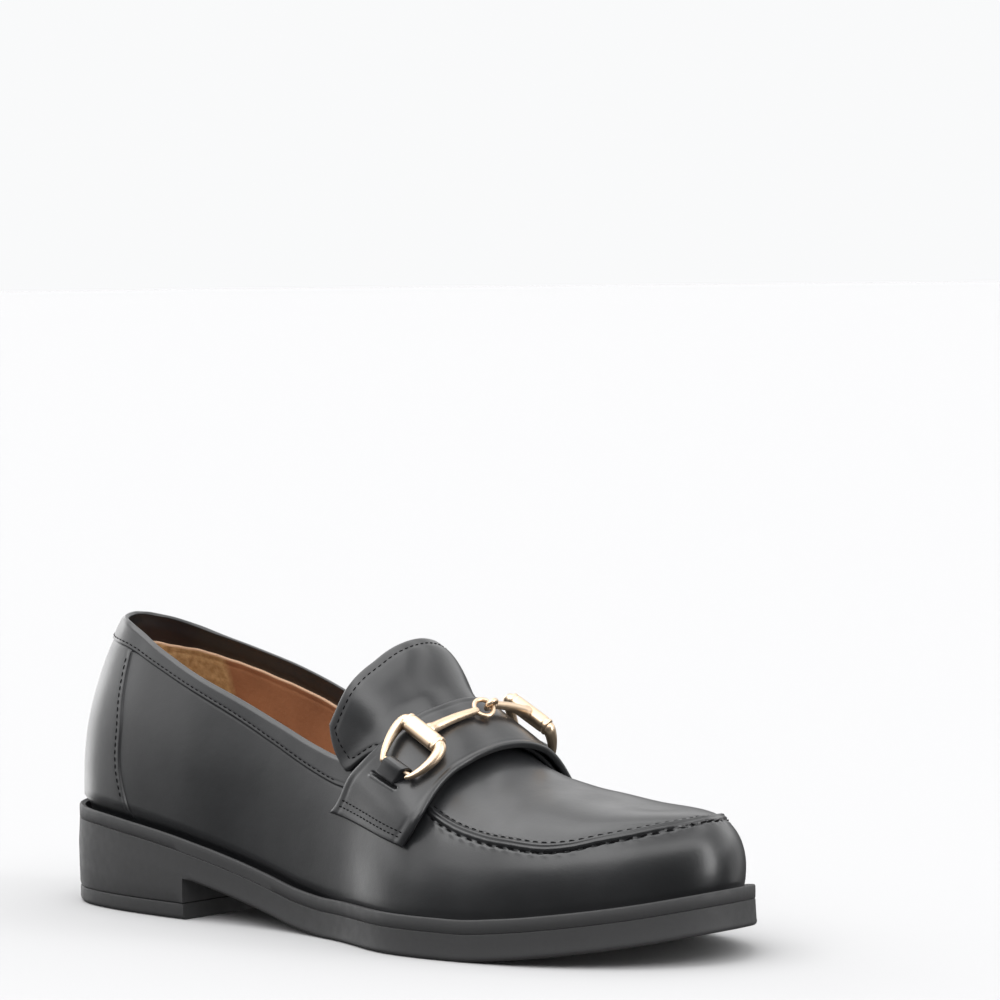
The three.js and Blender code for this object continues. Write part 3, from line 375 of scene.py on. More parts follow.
def solid(name, forms, material, sharp, values=None):
    """A smooth piece of closed forms, each a list of quads in millimetres. Forms may pass into
    one another; values are per point and only for a piece of one form."""
    points, polygons = [], []
    for faces in forms:
        found, loops, first = welded(faces)
        polygons += [[k + len(points) for k in loop] for loop in loops]
        points += (found * MM).tolist()
    mesh = bpy.data.meshes.new(name)
    mesh.from_pydata(points, [], polygons)
    mesh.shade_smooth()
    mesh.set_sharp_from_angle(angle=math.radians(sharp))
    for key, value in (values or {}).items():
        mesh.attributes.new(key, "FLOAT", "POINT").data.foreach_set("value", value.reshape(-1)[first])
    mesh.materials.append(material)
    piece = bpy.data.objects.new(name, mesh)
    bpy.context.scene.collection.objects.link(piece)
    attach(piece, "root")
    return piece


def shader(name, colour, roughness, metallic=0.0, **inputs):
    """A material with one Principled surface, its node tree and that surface."""
    material = bpy.data.materials.new(name)
    material.use_nodes = True
    surface = material.node_tree.nodes["Principled BSDF"]
    surface.inputs["Base Color"].default_value = (*colour, 1)
    surface.inputs["Roughness"].default_value = roughness
    surface.inputs["Metallic"].default_value = metallic
    for key, value in inputs.items():
        surface.inputs[key.replace("_", " ")].default_value = value
    return material, material.node_tree, surface


def noise(tree, scale, detail=2.0, kind="ShaderNodeTexNoise"):
    """A noise on object coordinates; scale is in features per metre."""
    place = tree.nodes.new("ShaderNodeTexCoord")
    texture = tree.nodes.new(kind)
    texture.inputs["Scale"].default_value = scale
    if "Detail" in texture.inputs:
        texture.inputs["Detail"].default_value = detail
    tree.links.new(place.outputs["Object"], texture.inputs["Vector"])
    return texture.outputs[0]


def bumped(tree, surface, heights):
    """Bumps in millimetres, each from one height value, laid over one another."""
    normal = None
    for value, millimetres in heights:
        node = tree.nodes.new("ShaderNodeBump")
        node.inputs["Distance"].default_value = millimetres * MM
        node.inputs["Strength"].default_value = 1.0
        tree.links.new(value, node.inputs["Height"])
        if normal:
            tree.links.new(normal, node.inputs["Normal"])
        normal = node.outputs["Normal"]
    tree.links.new(normal, surface.inputs["Normal"])


rubber, tree, surface = shader("sole_rubber", (0.033, 0.033, 0.034), 0.55)
tree.links.new(ranged(tree, noise(tree, 300, 3), 0.54, 0.66), surface.inputs["Roughness"])
bumped(tree, surface, [(noise(tree, 2200, 2), 0.02)])

BREAST = HEEL_LENGTH - LENGTH / 2  # x of the front wall of the heel
SOLE_STEPS, SLIVER = 150, 0.05
EDGE_CURVE, CHAMFER = 1.3, 0.16


def sole_side(drop, inset, side, x):
    """Points on the side of the outsole, a height below its top and an inset from its outline."""
    line = edge_line(inset)
    low, high = line[LATERAL][0, 0], line[LATERAL][-1, 0]
    place = np.clip(x * (high - low) / LENGTH + (high + low) / 2, low, high)
    return np.stack([place, edge_at(line, side, place)[0], outsole_top(place) - drop], 1)


def outsole():
    x = -np.cos(np.pi * np.arange(SOLE_STEPS + 1) / SOLE_STEPS) * LENGTH / 2
    x = np.sort(np.append(x, [BREAST, BREAST + SLIVER]))
    curve = EDGE_CURVE * smooth((x - BREAST) / 4)
    walls = []
    for side in SIDES:
        rows = [
            sole_side(drop, inset, side, x)
            for drop, inset in ((0, 0.6), (CHAMFER, 0.42), (SOLE * 0.35, 0.3), (SOLE * 0.75, 0.12))
        ]
        y, inward_x, inward_y = edge_at(edge_line(0.0), side, x)
        for turn in np.linspace(0, np.pi / 2, 6):
            by = curve * (1 - np.cos(turn))
            low = underside(x) + curve * (1 - np.sin(turn))
            rows.append(np.stack([x + inward_x * by, y + inward_y * by, low], 1))
        walls.append(np.array(rows))
    lateral, medial = walls
    rear = x <= BREAST
    bottom = [mix(lateral[-1], medial[-1], s) for s in np.linspace(0, 1, 9)]
    faces = [
        quads(lateral),
        quads(medial[::-1]),
        quads(np.array([medial[0], lateral[0]])),
        quads(np.array(bottom)[:, ~rear | (x == BREAST)]),
    ]
    blocks = []
    for side, wall in zip(SIDES, walls):
        top = wall[-1][rear]
        inward = np.stack(edge_at(edge_line(0.0), side, top[:, 0])[1:], 1)
        ease = 1 - smooth((top[:, 0] - (BREAST - 2)) / 2)
        steps = [top]
        for down, inset in ((0.5, 0.1), (0.93, 0.25), (1.0, 0.55)):
            point = top.copy()
            point[:, :2] += inward * (inset * ease)[:, None]
            point[:, 2] = mix(top[:, 2], TOP_LIFT + GAP, down)
            steps.append(point)
        blocks.append(np.array(steps))
    lateral, medial = blocks
    return faces + [
        quads(lateral),
        quads(medial[::-1]),
        quads(np.array([lateral[-1], medial[-1]])),
        quads(np.array([medial[:, -1], lateral[:, -1]])),
    ]


sole = solid("sole", [outsole()], rubber, 35)
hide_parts("outsole")

# Top lift
# The 5 mm wear layer under the heel, of the same rubber, with a fine joint line above it and a
# rounded lower edge.
layers = [
    (edge_line(inset), lambda x, z=height: np.full_like(x, z))
    for inset, height in ((0.75, 5.0), (0.35, 4.7), (0.3, 1.5), (0.55, 0.7), (1.0, 0.2), (1.7, 0))
]
stack = ring_stack(layers, 90, BREAST)
breast_wall = quads(stack[:, ::-1, -1].swapaxes(0, 1))
lift = solid("top_lift", [closed_stack(stack) + [breast_wall]], rubber, 35)
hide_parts("heel_top_lift")

# Welt
# The rubber strip on top of the outsole all the way round. It stands 2 to 3 mm out past the
# upper, with a small lip at its outer edge.
layers = [
    (edge_line(0.62), lambda x: outsole_top(x) + 0.06),
    (edge_line(0.42), lambda x: outsole_top(x) + 0.22),
    (edge_line(0.36), lambda x: outsole_top(x) + GAP + WELT * 0.5),
    (edge_line(0.42), lambda x: outsole_top(x) + GAP + WELT - 0.5),
    (edge_line(0.6), lambda x: outsole_top(x) + GAP + WELT - 0.15),
    (edge_line(0.95), lambda x: outsole_top(x) + GAP + WELT),
    (edge_line(1.35), lambda x: outsole_top(x) + GAP + WELT - 0.12),
    (edge_line(1.6), lambda x: outsole_top(x) + GAP + WELT - 0.35),
    (edge_line(welt_margin), lambda x: outsole_top(x) + GAP + WELT - 0.4),
    (edge_line(welt_margin), lambda x: outsole_top(x) + 0.06),
]
stack = ring_stack(layers, SOLE_STEPS)
rings = np.concatenate([stack[:, 0], stack[:, 1, -2:0:-1]], 1)
strip = solid("welt_strip", [[quads(rings, wrap_rows=True, wrap_columns=True)]], rubber, 50)
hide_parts("welt")

# Upper
# Smooth black leather on the shape of the last. The outer skin carries the counter panel, the
# collar band and the raised seam between apron and plug; a black facing lines the collar.
WALL, INSTEP_RISE, TOE_RISE, COLLAR_RISE = 2.0, 75.5, 30, 64.8
TOE_BOX_DEPTH, HEEL_SEAT_DEPTH, CENTRE_Y, FAN, BELLY = 24.5, 37, 0.5, 2.15, 1.8
CROWN = [  # share of the length, share of the instep rise, share of the toe rise
    (0.15, 1.17, 0), (0.2, 1.167, 0), (0.35, 1.118, 0), (0.45, 1.07, 0), (0.5, 1.0, 0),
    (0.56, 0.882, 0), (0.62, 0.75, 0), (0.66, 0.655, 0), (0.7, 0.515, 0.15),
    (0.75, 0.364, 0.4), (0.8, 0.2, 0.7), (0.85, 0.074, 0.9), (0.9, 0, 1),
]
SECTIONS = [  # share of the length, power of the section, swell of its wall
    (0, 1.75, 1), (0.1, 1.65, 1), (0.2, 1.6, 1), (0.35, 1.75, 0.67), (0.45, 1.95, 0.33),
    (0.56, 2.0, 0.17), (0.66, 2.05, 0.27), (0.7, 2.2, 0.33), (0.75, 2.4, 0.33),
    (0.8, 2.7, 0.33), (0.85, 3.0, 0.33), (0.9, 3.4, 0.33), (1, 4.0, 0.33),
]
COLLAR = [  # around, lateral and medial share of the collar rise, width of the band
    (0, 0.994, 0.994, 7.6), (0.03, 0.998, 0.989, 7.6), (0.06, 0.996, 0.978, 7.6),
    (0.1, 0.99, 0.96, 7.6), (0.155, 0.978, 0.925, 7.2), (0.206, 0.95, 0.89, 6.2),
    (0.273, 0.887, 0.86, 5.3), (0.334, 0.826, 0.835, 5), (0.38, 0.796, 0.812, 5.5),
    (0.422, 0.767, 0.782, 6.2), (0.463, 0.742, 0.75, 7), (0.501, 0.705, 0.711, 7.6),
    (0.53, 0.68, 0.68, 8),
]
SEAM = [  # around, turn
    (0.5, 0.5), (0.6, 0.49), (0.658, 0.461), (0.7, 0.446), (0.74, 0.438), (0.771, 0.453),
    (0.805, 0.488), (0.843, 0.52), (0.889, 0.56), (0.94, 0.59), (1, 0.61),
]
COUNTER = [  # turn, around
    (0, 0.27), (0.08, 0.248), (0.16, 0.236), (0.25, 0.231), (0.33, 0.222), (0.6, 0.196),
]
THROAT_START, THROAT, SEAM_START = 0.51, 0.58, 0.603
BAND_PROUD, COUNTER_PROUD, SEAM_PROUD = 0.5, 0.6, 0.8
FEATHER = edge_line(lambda x: welt_margin(x) + GAP)


def crown_height(x):
    at = x / LENGTH + 0.5
    rise = along(CROWN, 1, at) * INSTEP_RISE + along(CROWN, 2, at) * TOE_RISE
    return outsole_top(x) + GAP + rise


def section(side, around):
    """Foot, crown, base, rise, power and swell of the last's sections."""
    x = station_x(FEATHER, around)
    y = edge_at(FEATHER, side, x)[0]
    rear, front = FEATHER[LATERAL][0, 0], FEATHER[LATERAL][-1, 0]
    toe = np.clip((x - front + FAN * TOE_BOX_DEPTH) / (FAN * TOE_BOX_DEPTH), 0, 1)
    heel = np.clip((rear + FAN * HEEL_SEAT_DEPTH - x) / (FAN * HEEL_SEAT_DEPTH), 0, 1)
    crown_x = x - TOE_BOX_DEPTH * toe**2 + HEEL_SEAT_DEPTH * heel**2
    base = outsole_top(x) + GAP
    at = x / LENGTH + 0.5
    rise = crown_height(crown_x) - base
    return x, y, crown_x, base, rise, along(SECTIONS, 1, at), along(SECTIONS, 2, at) * BELLY


def last_point(side, around, turn):
    around, turn = np.broadcast_arrays(np.asarray(around, float), np.asarray(turn, float))
    x, y, crown_x, base, rise, boxy, belly = section(side, around)
    angle = np.clip(turn, 0, 1) * np.pi / 2
    c, h = np.abs(np.cos(angle)), np.sin(angle)
    radius = (c**boxy + h**boxy) ** (-1 / boxy)
    share = radius * h
    low = (WELT + GAP) / rise
    swell_share = np.clip((share - low) / (1 - low), 0, 1) ** 0.7
    swell = belly * (1 - np.cos(2 * np.pi * swell_share)) / 2
    out = radius * c * (turn < 1) + swell / np.hypot(x - crown_x, y - CENTRE_Y)
    return np.stack(
        [mix(crown_x, x, out), mix(CENTRE_Y, y, out), base + rise * share], -1
    )


def last_normal(side, around, turn):
    """Outward normal. Where both sides share an edge it is the mean of the two."""

    def one(side):
        ahead = last_point(side, np.minimum(1, around + 1e-3), turn) - last_point(
            side, np.maximum(0, around - 1e-3), turn
        )
        rise = last_point(side, around, np.minimum(1, turn + 1e-3)) - last_point(
            side, around, np.maximum(0, turn - 1e-3)
        )
        found = np.cross(ahead, rise) * -side
        return found / np.linalg.norm(found, axis=-1, keepdims=True)

    around, turn = np.broadcast_arrays(np.asarray(around, float), np.asarray(turn, float))
    shared = (turn > 1 - 1e-6) | (around < 1e-6) | (around > 1 - 1e-6)
    found = np.where(shared[..., None], one(side) + one(-side), one(side))
    return found / np.linalg.norm(found, axis=-1, keepdims=True)


def above(side, around, turn, height):
    normal = last_normal(side, around, turn)
    return last_point(side, around, turn) + normal * np.asarray(height)[..., None]


def turn_length(side, around, turn):
    """Millimetres for a whole turn near one place on the last."""
    step = last_point(side, around, turn + 0.01) - last_point(side, around, turn - 0.01)
    return np.linalg.norm(step, axis=-1) / 0.02


def turn_of_height(share, boxy):
    return np.arctan2(share, (1 - np.clip(share, 0, 1) ** boxy) ** (1 / boxy)) / (np.pi / 2)


def edge_turn(side, around):
    """Turn of the collar edge; past the throat the section closes on the crown."""
    rise, boxy = section(side, around)[4:6]
    share = along(COLLAR, 1 if side == LATERAL else 2, around)
    collar = turn_of_height(share * COLLAR_RISE / rise, boxy)
    turn_in = np.clip((around - THROAT_START) / (THROAT - THROAT_START), 0, 1)
    return mix(collar, 1, 1 - np.sqrt(1 - turn_in**2))


SKIN_STEPS = 380
LOW, NEAR, ACROSS, HIGH = 6, 22, 30, 20  # rows: below the welt's top, wall, feature, top
VAMP_COLUMNS, VAMP_FROM = 0.3, 0.42  # share of the columns behind the vamp, around where it starts


def around_at(u, turn):
    """Where a column stands at one turn. Columns beside the counter follow its front edge."""
    seam = along(COUNTER, 1, turn)
    knots = [0, 0.13, 0.138, 0.144, 0.152, VAMP_COLUMNS, 1]
    level = np.ones_like(seam)
    ends = [0 * seam, seam - 0.0025, seam, seam + 0.0016, seam + 0.004, VAMP_FROM * level, level]
    u = np.broadcast_to(u, np.shape(seam))
    found = np.zeros_like(seam)
    for k in range(len(knots) - 1):
        share = (u - knots[k]) / (knots[k + 1] - knots[k])
        inside = (share >= 0) & (share <= 1)
        found = np.where(inside, mix(ends[k], ends[k + 1], share), found)
    return found


def feature_rows(side, around):
    """Turns of the rows of one column: they close in on the collar band or the raised seam."""
    edge = edge_turn(side, around)
    rise, boxy = section(side, around)[4:6]
    welt = turn_of_height((WELT + GAP) / rise, boxy)
    vamp = smooth((around - 0.5) / 0.05)
    scale = turn_length(side, around, np.minimum(edge, 0.6))
    band = edge - along(COLLAR, 3, around) / scale
    seam = np.minimum(along(SEAM, 1, around), edge - 0.05)
    width = turn_length(side, around, seam)
    start = mix(band - 2 / scale, np.minimum(seam - 4.5 / width, edge - 0.1), vamp)
    end = mix(band + 3 / scale, np.minimum(seam + 4 / width, edge - 0.02), vamp)
    knots = [0 * edge, welt, start, end, edge]
    runs = []
    for k, count in enumerate((LOW, NEAR, ACROSS, HIGH)):
        for share in np.arange(count) / count:
            runs.append(mix(knots[k], knots[k + 1], share))
    return np.array([*runs, edge])


def columns(side, u):
    """around and turn of every point of the outer skin: (row, column)."""
    around = around_at(u, np.full_like(u, 0.3))
    rows = feature_rows(side, around)
    for _ in range(2):
        around = around_at(u[None, :], rows)
        rows = np.array([feature_rows(side, around[k])[k] for k in range(len(rows))])
    return around, rows


def seam_length(side):
    """Running length of the raised seam from its start, at finely spaced places around."""
    at = np.linspace(SEAM_START, 1, 600)
    line = last_point(side, at, along(SEAM, 1, at))
    step = np.linalg.norm(np.diff(line, axis=0), axis=1)
    return at, np.concatenate([[0], np.cumsum(step)])


HAND_PITCH, PLUG_PITCH = 4.3, 2.9
HAND_LINE, PLUG_LINE = -2.05, 1.5  # the two rows of holes, millimetres above the seam's line
COUNTER_SCALE = 259  # steps of about 1.5 mm ahead of the counter's edge, for one around amidships


def bell(x, centre, width):
    """A smooth bump of height 1."""
    return np.exp(-(((x - centre) / width) ** 2))


def tuck_height(around, lift):
    """Low down the skin runs in under the feather line, most of all at the waist and heel."""
    tuck = -1.5 * (1 - smooth((lift + 1.2) / 3.6)) * (1 - smooth((around - 0.42) / 0.12))
    return tuck * (lift > -WELT) - 0.25 * (1 - smooth((lift + 1) / 3))


def counter_height(around, turn, lift, past):
    """The counter panel, with a stitched groove behind its front edge."""
    scale = COUNTER_SCALE * np.sin(np.pi * np.clip(around, 0.02, 0.98))
    ahead = (around - along(COUNTER, 1, turn)) * scale
    under_band = 1 - smooth(past / 0.5)
    step = 1 - smooth((ahead + 0.02 + 5 * under_band) / mix(0.38, 10, under_band))
    groove = 0.06 * bell(ahead, -1.1, 0.4) * (1 - under_band)
    return (COUNTER_PROUD * step - groove) * smooth(lift)


def band_height(down, past):
    """The rolled collar band: its lower step, stitched groove, round top and the crease below."""
    roll = BAND_PROUD * (1 - smooth((past + 0.25) / 0.4))
    roll -= 0.07 * bell(past, -1.1, 0.4)
    roll -= 0.55 * np.clip(1 - down / 1.3, 0, 1) ** 2
    return roll - 0.06 * bell(past, 0.4, 0.35)


def seam_height(side, around, across):
    """The raised seam: a lip over the apron, pinched by each hand stitch, and the plug's holes."""
    at, run = seam_length(side)
    phase = np.interp(around, at, run) / HAND_PITCH * 2 * np.pi
    pinch = smooth(0.5 + 0.75 * np.cos(phase + 0.5 * across))
    hole = 0.5 + 0.5 * np.cos(phase * HAND_PITCH / PLUG_PITCH)
    lip = smooth((across + 1.9) / 0.7) * (1 - smooth((across - 0.1) / 1.5))
    ridge = SEAM_PROUD * lip * (1 - 0.45 * smooth((around - 0.86) / 0.1))
    ridge += 0.26 * bell(across, 0.15, 0.4)
    ridge -= 0.12 * bell(across, -0.75, 0.5)
    ridge -= 0.5 * bell(across, HAND_LINE, 0.45) * (0.12 + 0.88 * pinch)
    ridge += 0.12 * bell(across, -3.1, 0.7) * (1 - pinch)
    return ridge - 0.16 * bell(across, PLUG_LINE, 0.4) * hole


def skin_height(side, around, turn):
    """How proud the outer skin stands above the last, in millimetres."""
    lift = last_point(side, around, turn)[..., 2] - section(side, around)[3] - WELT - GAP
    edge = edge_turn(side, around)
    down = (edge - turn) * turn_length(side, around, np.minimum(edge, 0.6))
    past = down - along(COLLAR, 3, around)  # below the band's lower edge
    quarter = 1 - smooth((around - 0.5) / 0.05)
    seam = np.minimum(along(SEAM, 1, around), edge - 0.05)
    across = (turn - seam) * turn_length(side, around, seam)
    shown = smooth((around - SEAM_START) / 0.012)
    height = tuck_height(around, lift) + counter_height(around, turn, lift, past)
    return height + quarter * band_height(down, past) + shown * seam_height(side, around, across)


def paired(lateral, medial):
    """Columns of both sides as one ring: heel, lateral side, toe, medial side."""
    return np.concatenate([lateral, medial[:, -2:0:-1]], 1)


RIM_WALL, RIM_ROUND = 1.1, 0.5  # wall at the collar's edge, how far its rounding stands up
FLANGE = 8  # how far the lasted edge runs in under the insole


def upper_shell():
    throat = mix(VAMP_COLUMNS, 1, (THROAT - VAMP_FROM) / (1 - VAMP_FROM))
    counter_columns = np.linspace(0.127, 0.156, 24)
    u = np.arange(SKIN_STEPS + 1) / SKIN_STEPS
    u = np.sort(np.concatenate([u, counter_columns, [throat]]))
    faces = []
    for side in SIDES:
        around, rows = columns(side, u)
        outer = above(side, around, rows, skin_height(side, around, rows))
        edge = rows[-1]
        x, y, _, _, rise, boxy, _ = section(side, around)
        lowest = turn_of_height((WALL + GAP) / rise, boxy)
        few = np.append(np.arange(0, len(rows) - 1, 4), len(rows) - 1)
        lining_turn = lowest[few] + rows[few] * (1 - lowest[few] / edge)
        near_rim = smooth(1 - (edge - lining_turn) * 100 / 5)
        inner = above(side, around[few], lining_turn, -mix(WALL, RIM_WALL, near_rim))
        upward = above(side, around[-1], edge, 0 * edge) - above(
            side, around[-1], edge - 0.02, 0 * edge
        )
        upward /= np.linalg.norm(upward, axis=-1, keepdims=True)
        open_share = smooth((1 - edge) / 0.2)[:, None]
        rim = []
        for angle in np.linspace(0, np.pi, 8)[1:-1]:
            point = mix(outer[-1], inner[-1], (1 - math.cos(angle)) / 2)
            rim.append(point + upward * math.sin(angle) * RIM_ROUND * open_share)
        _, inward_x, inward_y = edge_at(FEATHER, side, x[0])
        flange = []
        for inset, height in ((WALL, WALL), (FLANGE, WALL), (FLANGE, 0)):
            px, py = x[0] + inward_x * inset, y[0] + inward_y * inset
            flange.append(np.stack([px, py, outsole_top(px) + GAP + height], 1))
        closed = edge >= 1 - 1e-9
        open_to = ~(closed[:-1] & closed[1:])
        grid = np.array([flange[2], *outer, *rim, *inner[::-1], flange[0], flange[1]])
        if side == MEDIAL:
            grid, open_to = grid[:, ::-1], open_to[::-1]
        first, last = len(outer), len(outer) + len(rim) + 1
        rim_faces = quads(grid[first : last + 1]).reshape(last - first, -1, 4, 3)
        faces.append(quads(grid[: first + 1]))
        faces.append(rim_faces[:, open_to].reshape(-1, 4, 3))
        faces.append(quads(np.concatenate([grid[last:], grid[:1]])))
    return faces


leather, tree, surface = shader("black_leather", (0.012, 0.012, 0.013), 0.33, Coat_Weight=0.35)
surface.inputs["Coat Roughness"].default_value = 0.2
# Broad clouds of lighter and darker base colour: partly the leather's own uneven tone, partly painted
# sheen standing in for its cloudy shine.
cloud = noise(tree, 45, 5)
tree.links.new(
    blended(tree, ranged(tree, cloud, 0, 1), (0.009, 0.0095, 0.0105), (0.016, 0.0165, 0.018)),
    surface.inputs["Base Color"],
)
tree.links.new(ranged(tree, noise(tree, 60, 4), 0.29, 0.4), surface.inputs["Roughness"])
bumped(tree, surface, [
    (noise(tree, 2600, 2, "ShaderNodeTexVoronoi"), 0.012),
    (noise(tree, 420, 3), 0.035),
    (cloud, 0.12),
    (noise(tree, 30, 2), 0.45),
])

shell = solid("upper_shell", [upper_shell()], leather, 60)
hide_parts("upper")

# Lining
# Tan leather inside, its raw edge paler. A black facing shows above it, 8.6 mm deep at the heel
# and 6.4 mm at the sides; a suede grip takes the tan leather's place round the heel.
FACING_HEEL, FACING_SIDE = 8.6, 6.4
LINING, LINING_GAP = 0.65, 0.03


def lining_faces():
    """Faces of the lining, and for each of their corners whether it is on the raw edge."""
    u = np.arange(161) / 160
    loops = []
    for side in SIDES:
        edge = edge_turn(side, u)
        rise, boxy = section(side, u)[4:6]
        scale = turn_length(side, u, np.minimum(edge, 0.6))
        wave = 0.07 * np.sin(u * 150) + 0.1 * np.sin(u * 61 + 1)
        facing = mix(FACING_HEEL, FACING_SIDE, smooth((u - 0.08) / 0.14))
        top = mix(edge - (facing + wave) / scale, 1, smooth((u - 0.52) / 0.06))
        bottom = turn_of_height((WALL + GAP + 1) / rise, boxy)
        rows = [mix(bottom, top - 4 / scale, s) for s in np.linspace(0, 1, 22)]
        rows = np.array(rows + [top - d / scale for d in (2.6, 2.2, 1.8, 0.9, 0.8, 0.25, 0)])
        fade = np.ones_like(rows)
        fade[-6], fade[-1] = 0.8, 0.75  # a pressed line, and the edge rounded off
        outer = above(side, u[None, :], rows, -WALL - LINING_GAP + 0 * rows)
        inner = above(side, u[None, :], rows, -WALL - LINING * fade)
        loops.append(np.concatenate([outer, inner[::-1]]))
    grid = paired(*loops)
    count = len(grid) // 2
    raw = np.zeros_like(grid)
    raw[count - 2 : count + 2] = 1
    return quads(grid, True, True), quads(raw, True, True)[..., 0]


tan, tree, surface = shader("lining_leather", (0.4, 0.17, 0.07), 0.75)
SUEDE_END = -0.097, -0.094  # x in metres where the suede grip ends
place = tree.nodes.new("ShaderNodeTexCoord")
split = tree.nodes.new("ShaderNodeSeparateXYZ")
tree.links.new(place.outputs["Object"], split.inputs["Vector"])
suede = ranged(tree, split.outputs["X"], 1, 0, SUEDE_END)
mottle = noise(tree, 520, 4)
cloud = ranged(tree, noise(tree, 60, 3), 0, 1)
smooth_tan = blended(tree, cloud, (0.3, 0.125, 0.055), (0.4, 0.175, 0.08))
suede_tan = blended(tree, ranged(tree, mottle, 0, 1), (0.36, 0.2, 0.075), (0.62, 0.4, 0.19))
raw, wall = (tree.nodes.new("ShaderNodeAttribute") for _ in range(2))
raw.attribute_name, wall.attribute_name = "raw", "wall"  # the sock has neither
grip = tree.nodes.new("ShaderNodeMath")
grip.operation = "MULTIPLY"
tree.links.new(suede, grip.inputs[0])
tree.links.new(wall.outputs["Fac"], grip.inputs[1])
cover = blended(tree, grip.outputs[0], smooth_tan, suede_tan)
colour = blended(tree, raw.outputs["Fac"], cover, (0.62, 0.4, 0.26))
tree.links.new(colour, surface.inputs["Base Color"])
bumped(tree, surface, [(mottle, 0.15)])
faces, raw_edge = lining_faces()
lining = solid("lining", [[faces]], tan, 60, {"raw": raw_edge, "wall": 1 + 0 * raw_edge})

# Insole
# The lasted board with its tan sock, filling the shoe's floor between the walls.
def board_inset(x):
    return welt_margin(x) + GAP + WALL + 2 * GAP


def seat(x):
    return outsole_top(x) + 2 * GAP + WALL


def flange_inset(x):
    return welt_margin(x) + 4 * GAP + FLANGE


layers = [
    (edge_line(flange_inset), lambda x: outsole_top(x) + GAP),
    (edge_line(flange_inset), seat),
    (edge_line(board_inset), seat),
    (edge_line(board_inset), lambda x: seat(x) + 2.1),
    (edge_line(lambda x: board_inset(x) + 0.35), lambda x: seat(x) + 2.7),
    (edge_line(lambda x: board_inset(x) + 1), lambda x: seat(x) + 3),
]
sock = solid("sock", [closed_stack(ring_stack(layers, 110))], tan, 40)
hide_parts("insole")

# Saddle strap
# A band of 2.2 mm leather across the instep, with folded, rounded edges, a fine groove inside
# each of them, and on each side the slit that a tab of the snaffle goes down into.
TONGUE, STRAP, STRAP_SLACK = 1.8, 2.2, 0.4
STRAP_EDGES = [  # turn, rear and front edge around
    (0.25, 0.504, 0.6), (0.29, 0.512, 0.602), (0.375, 0.524, 0.61), (0.45, 0.536, 0.613),
    (0.54, 0.547, 0.613), (0.65, 0.556, 0.614), (0.75, 0.561, 0.617), (0.87, 0.566, 0.618),
    (1, 0.567, 0.618),
]
END_REAR, END_FRONT = 0.259, 0.288
HALF_STRAP, STRAP_WIDE = 62.0, 28.0  # its grid: crown to one end, rear to front, about in mm
SLIT_AROUND, TAB_LENGTH, TAB_WIDTH = 0.5685, 4.8, 8.6
SLIT_DEPTH, SLIT_LIP = 1.3, 0.35
ROD_PLACE = {  # rear and front end: around, turn
    LATERAL: ((0.565, 0.52), (0.592, 0.52)),
    MEDIAL: ((0.565, 0.535), (0.592, 0.535)),
}


def strap_height(turn):
    over_tongue = (TONGUE + GAP) * smooth((turn - 0.29) / 0.13)
    return GAP + over_tongue + STRAP_SLACK * smooth((turn - 0.5) / 0.3)


def both_sides(across, place):
    """Points of a sheet that runs over the crown: across is -1 at its lateral end, 1 medial."""
    lateral = place(LATERAL, np.minimum(across, 0))
    medial = place(MEDIAL, np.maximum(across, 0))
    return np.where((across < 0)[..., None], lateral, medial)


def strap_place(across, width):
    """around and turn on the strap; width is 0 at its rear edge and 1 at its front edge."""
    end = mix(END_REAR, END_FRONT, width)
    turn = 1 - np.abs(across) * (1 - end)
    rear, front = (along(STRAP_EDGES, k, turn) for k in (1, 2))
    return mix(rear, front, width), turn


def strap_point(across, width, height):
    def place(side, across):
        around, turn = strap_place(across, width)
        return above(side, around, turn, strap_height(turn) + height)

    return both_sides(across, place)


def pillow(distance, radius):
    """Height of a rounded edge, as a share, at a distance inside the edge."""
    inside = np.clip(distance / radius, 0, 1)
    return np.sqrt(np.clip(1 - (1 - inside) ** 2, 0, 1))


def slit_turn(side):
    turn = ROD_PLACE[side][0][1]
    return turn - TAB_LENGTH / turn_length(side, SLIT_AROUND, turn)


def slit_place(side):
    """Distance of the slit from the crown and from the strap's rear edge, in strap millimetres."""
    turn = slit_turn(side)
    rear, front = (along(STRAP_EDGES, k, turn) for k in (1, 2))
    width = (SLIT_AROUND - rear) / (front - rear)
    end = mix(END_REAR, END_FRONT, width)
    return HALF_STRAP * (1 - turn) / (1 - end), STRAP_WIDE * width


def sheet_faces(outer, inner):
    """Faces of a closed sheet from the grids of points on its two sides."""
    rim = [
        np.concatenate([g[0, :-1], g[:-1, -1], g[-1, :0:-1], g[:0:-1, 0]]) for g in (outer, inner)
    ]
    return [quads(outer), quads(inner[::-1]), quads(np.array(rim)[::-1], wrap_columns=True)]


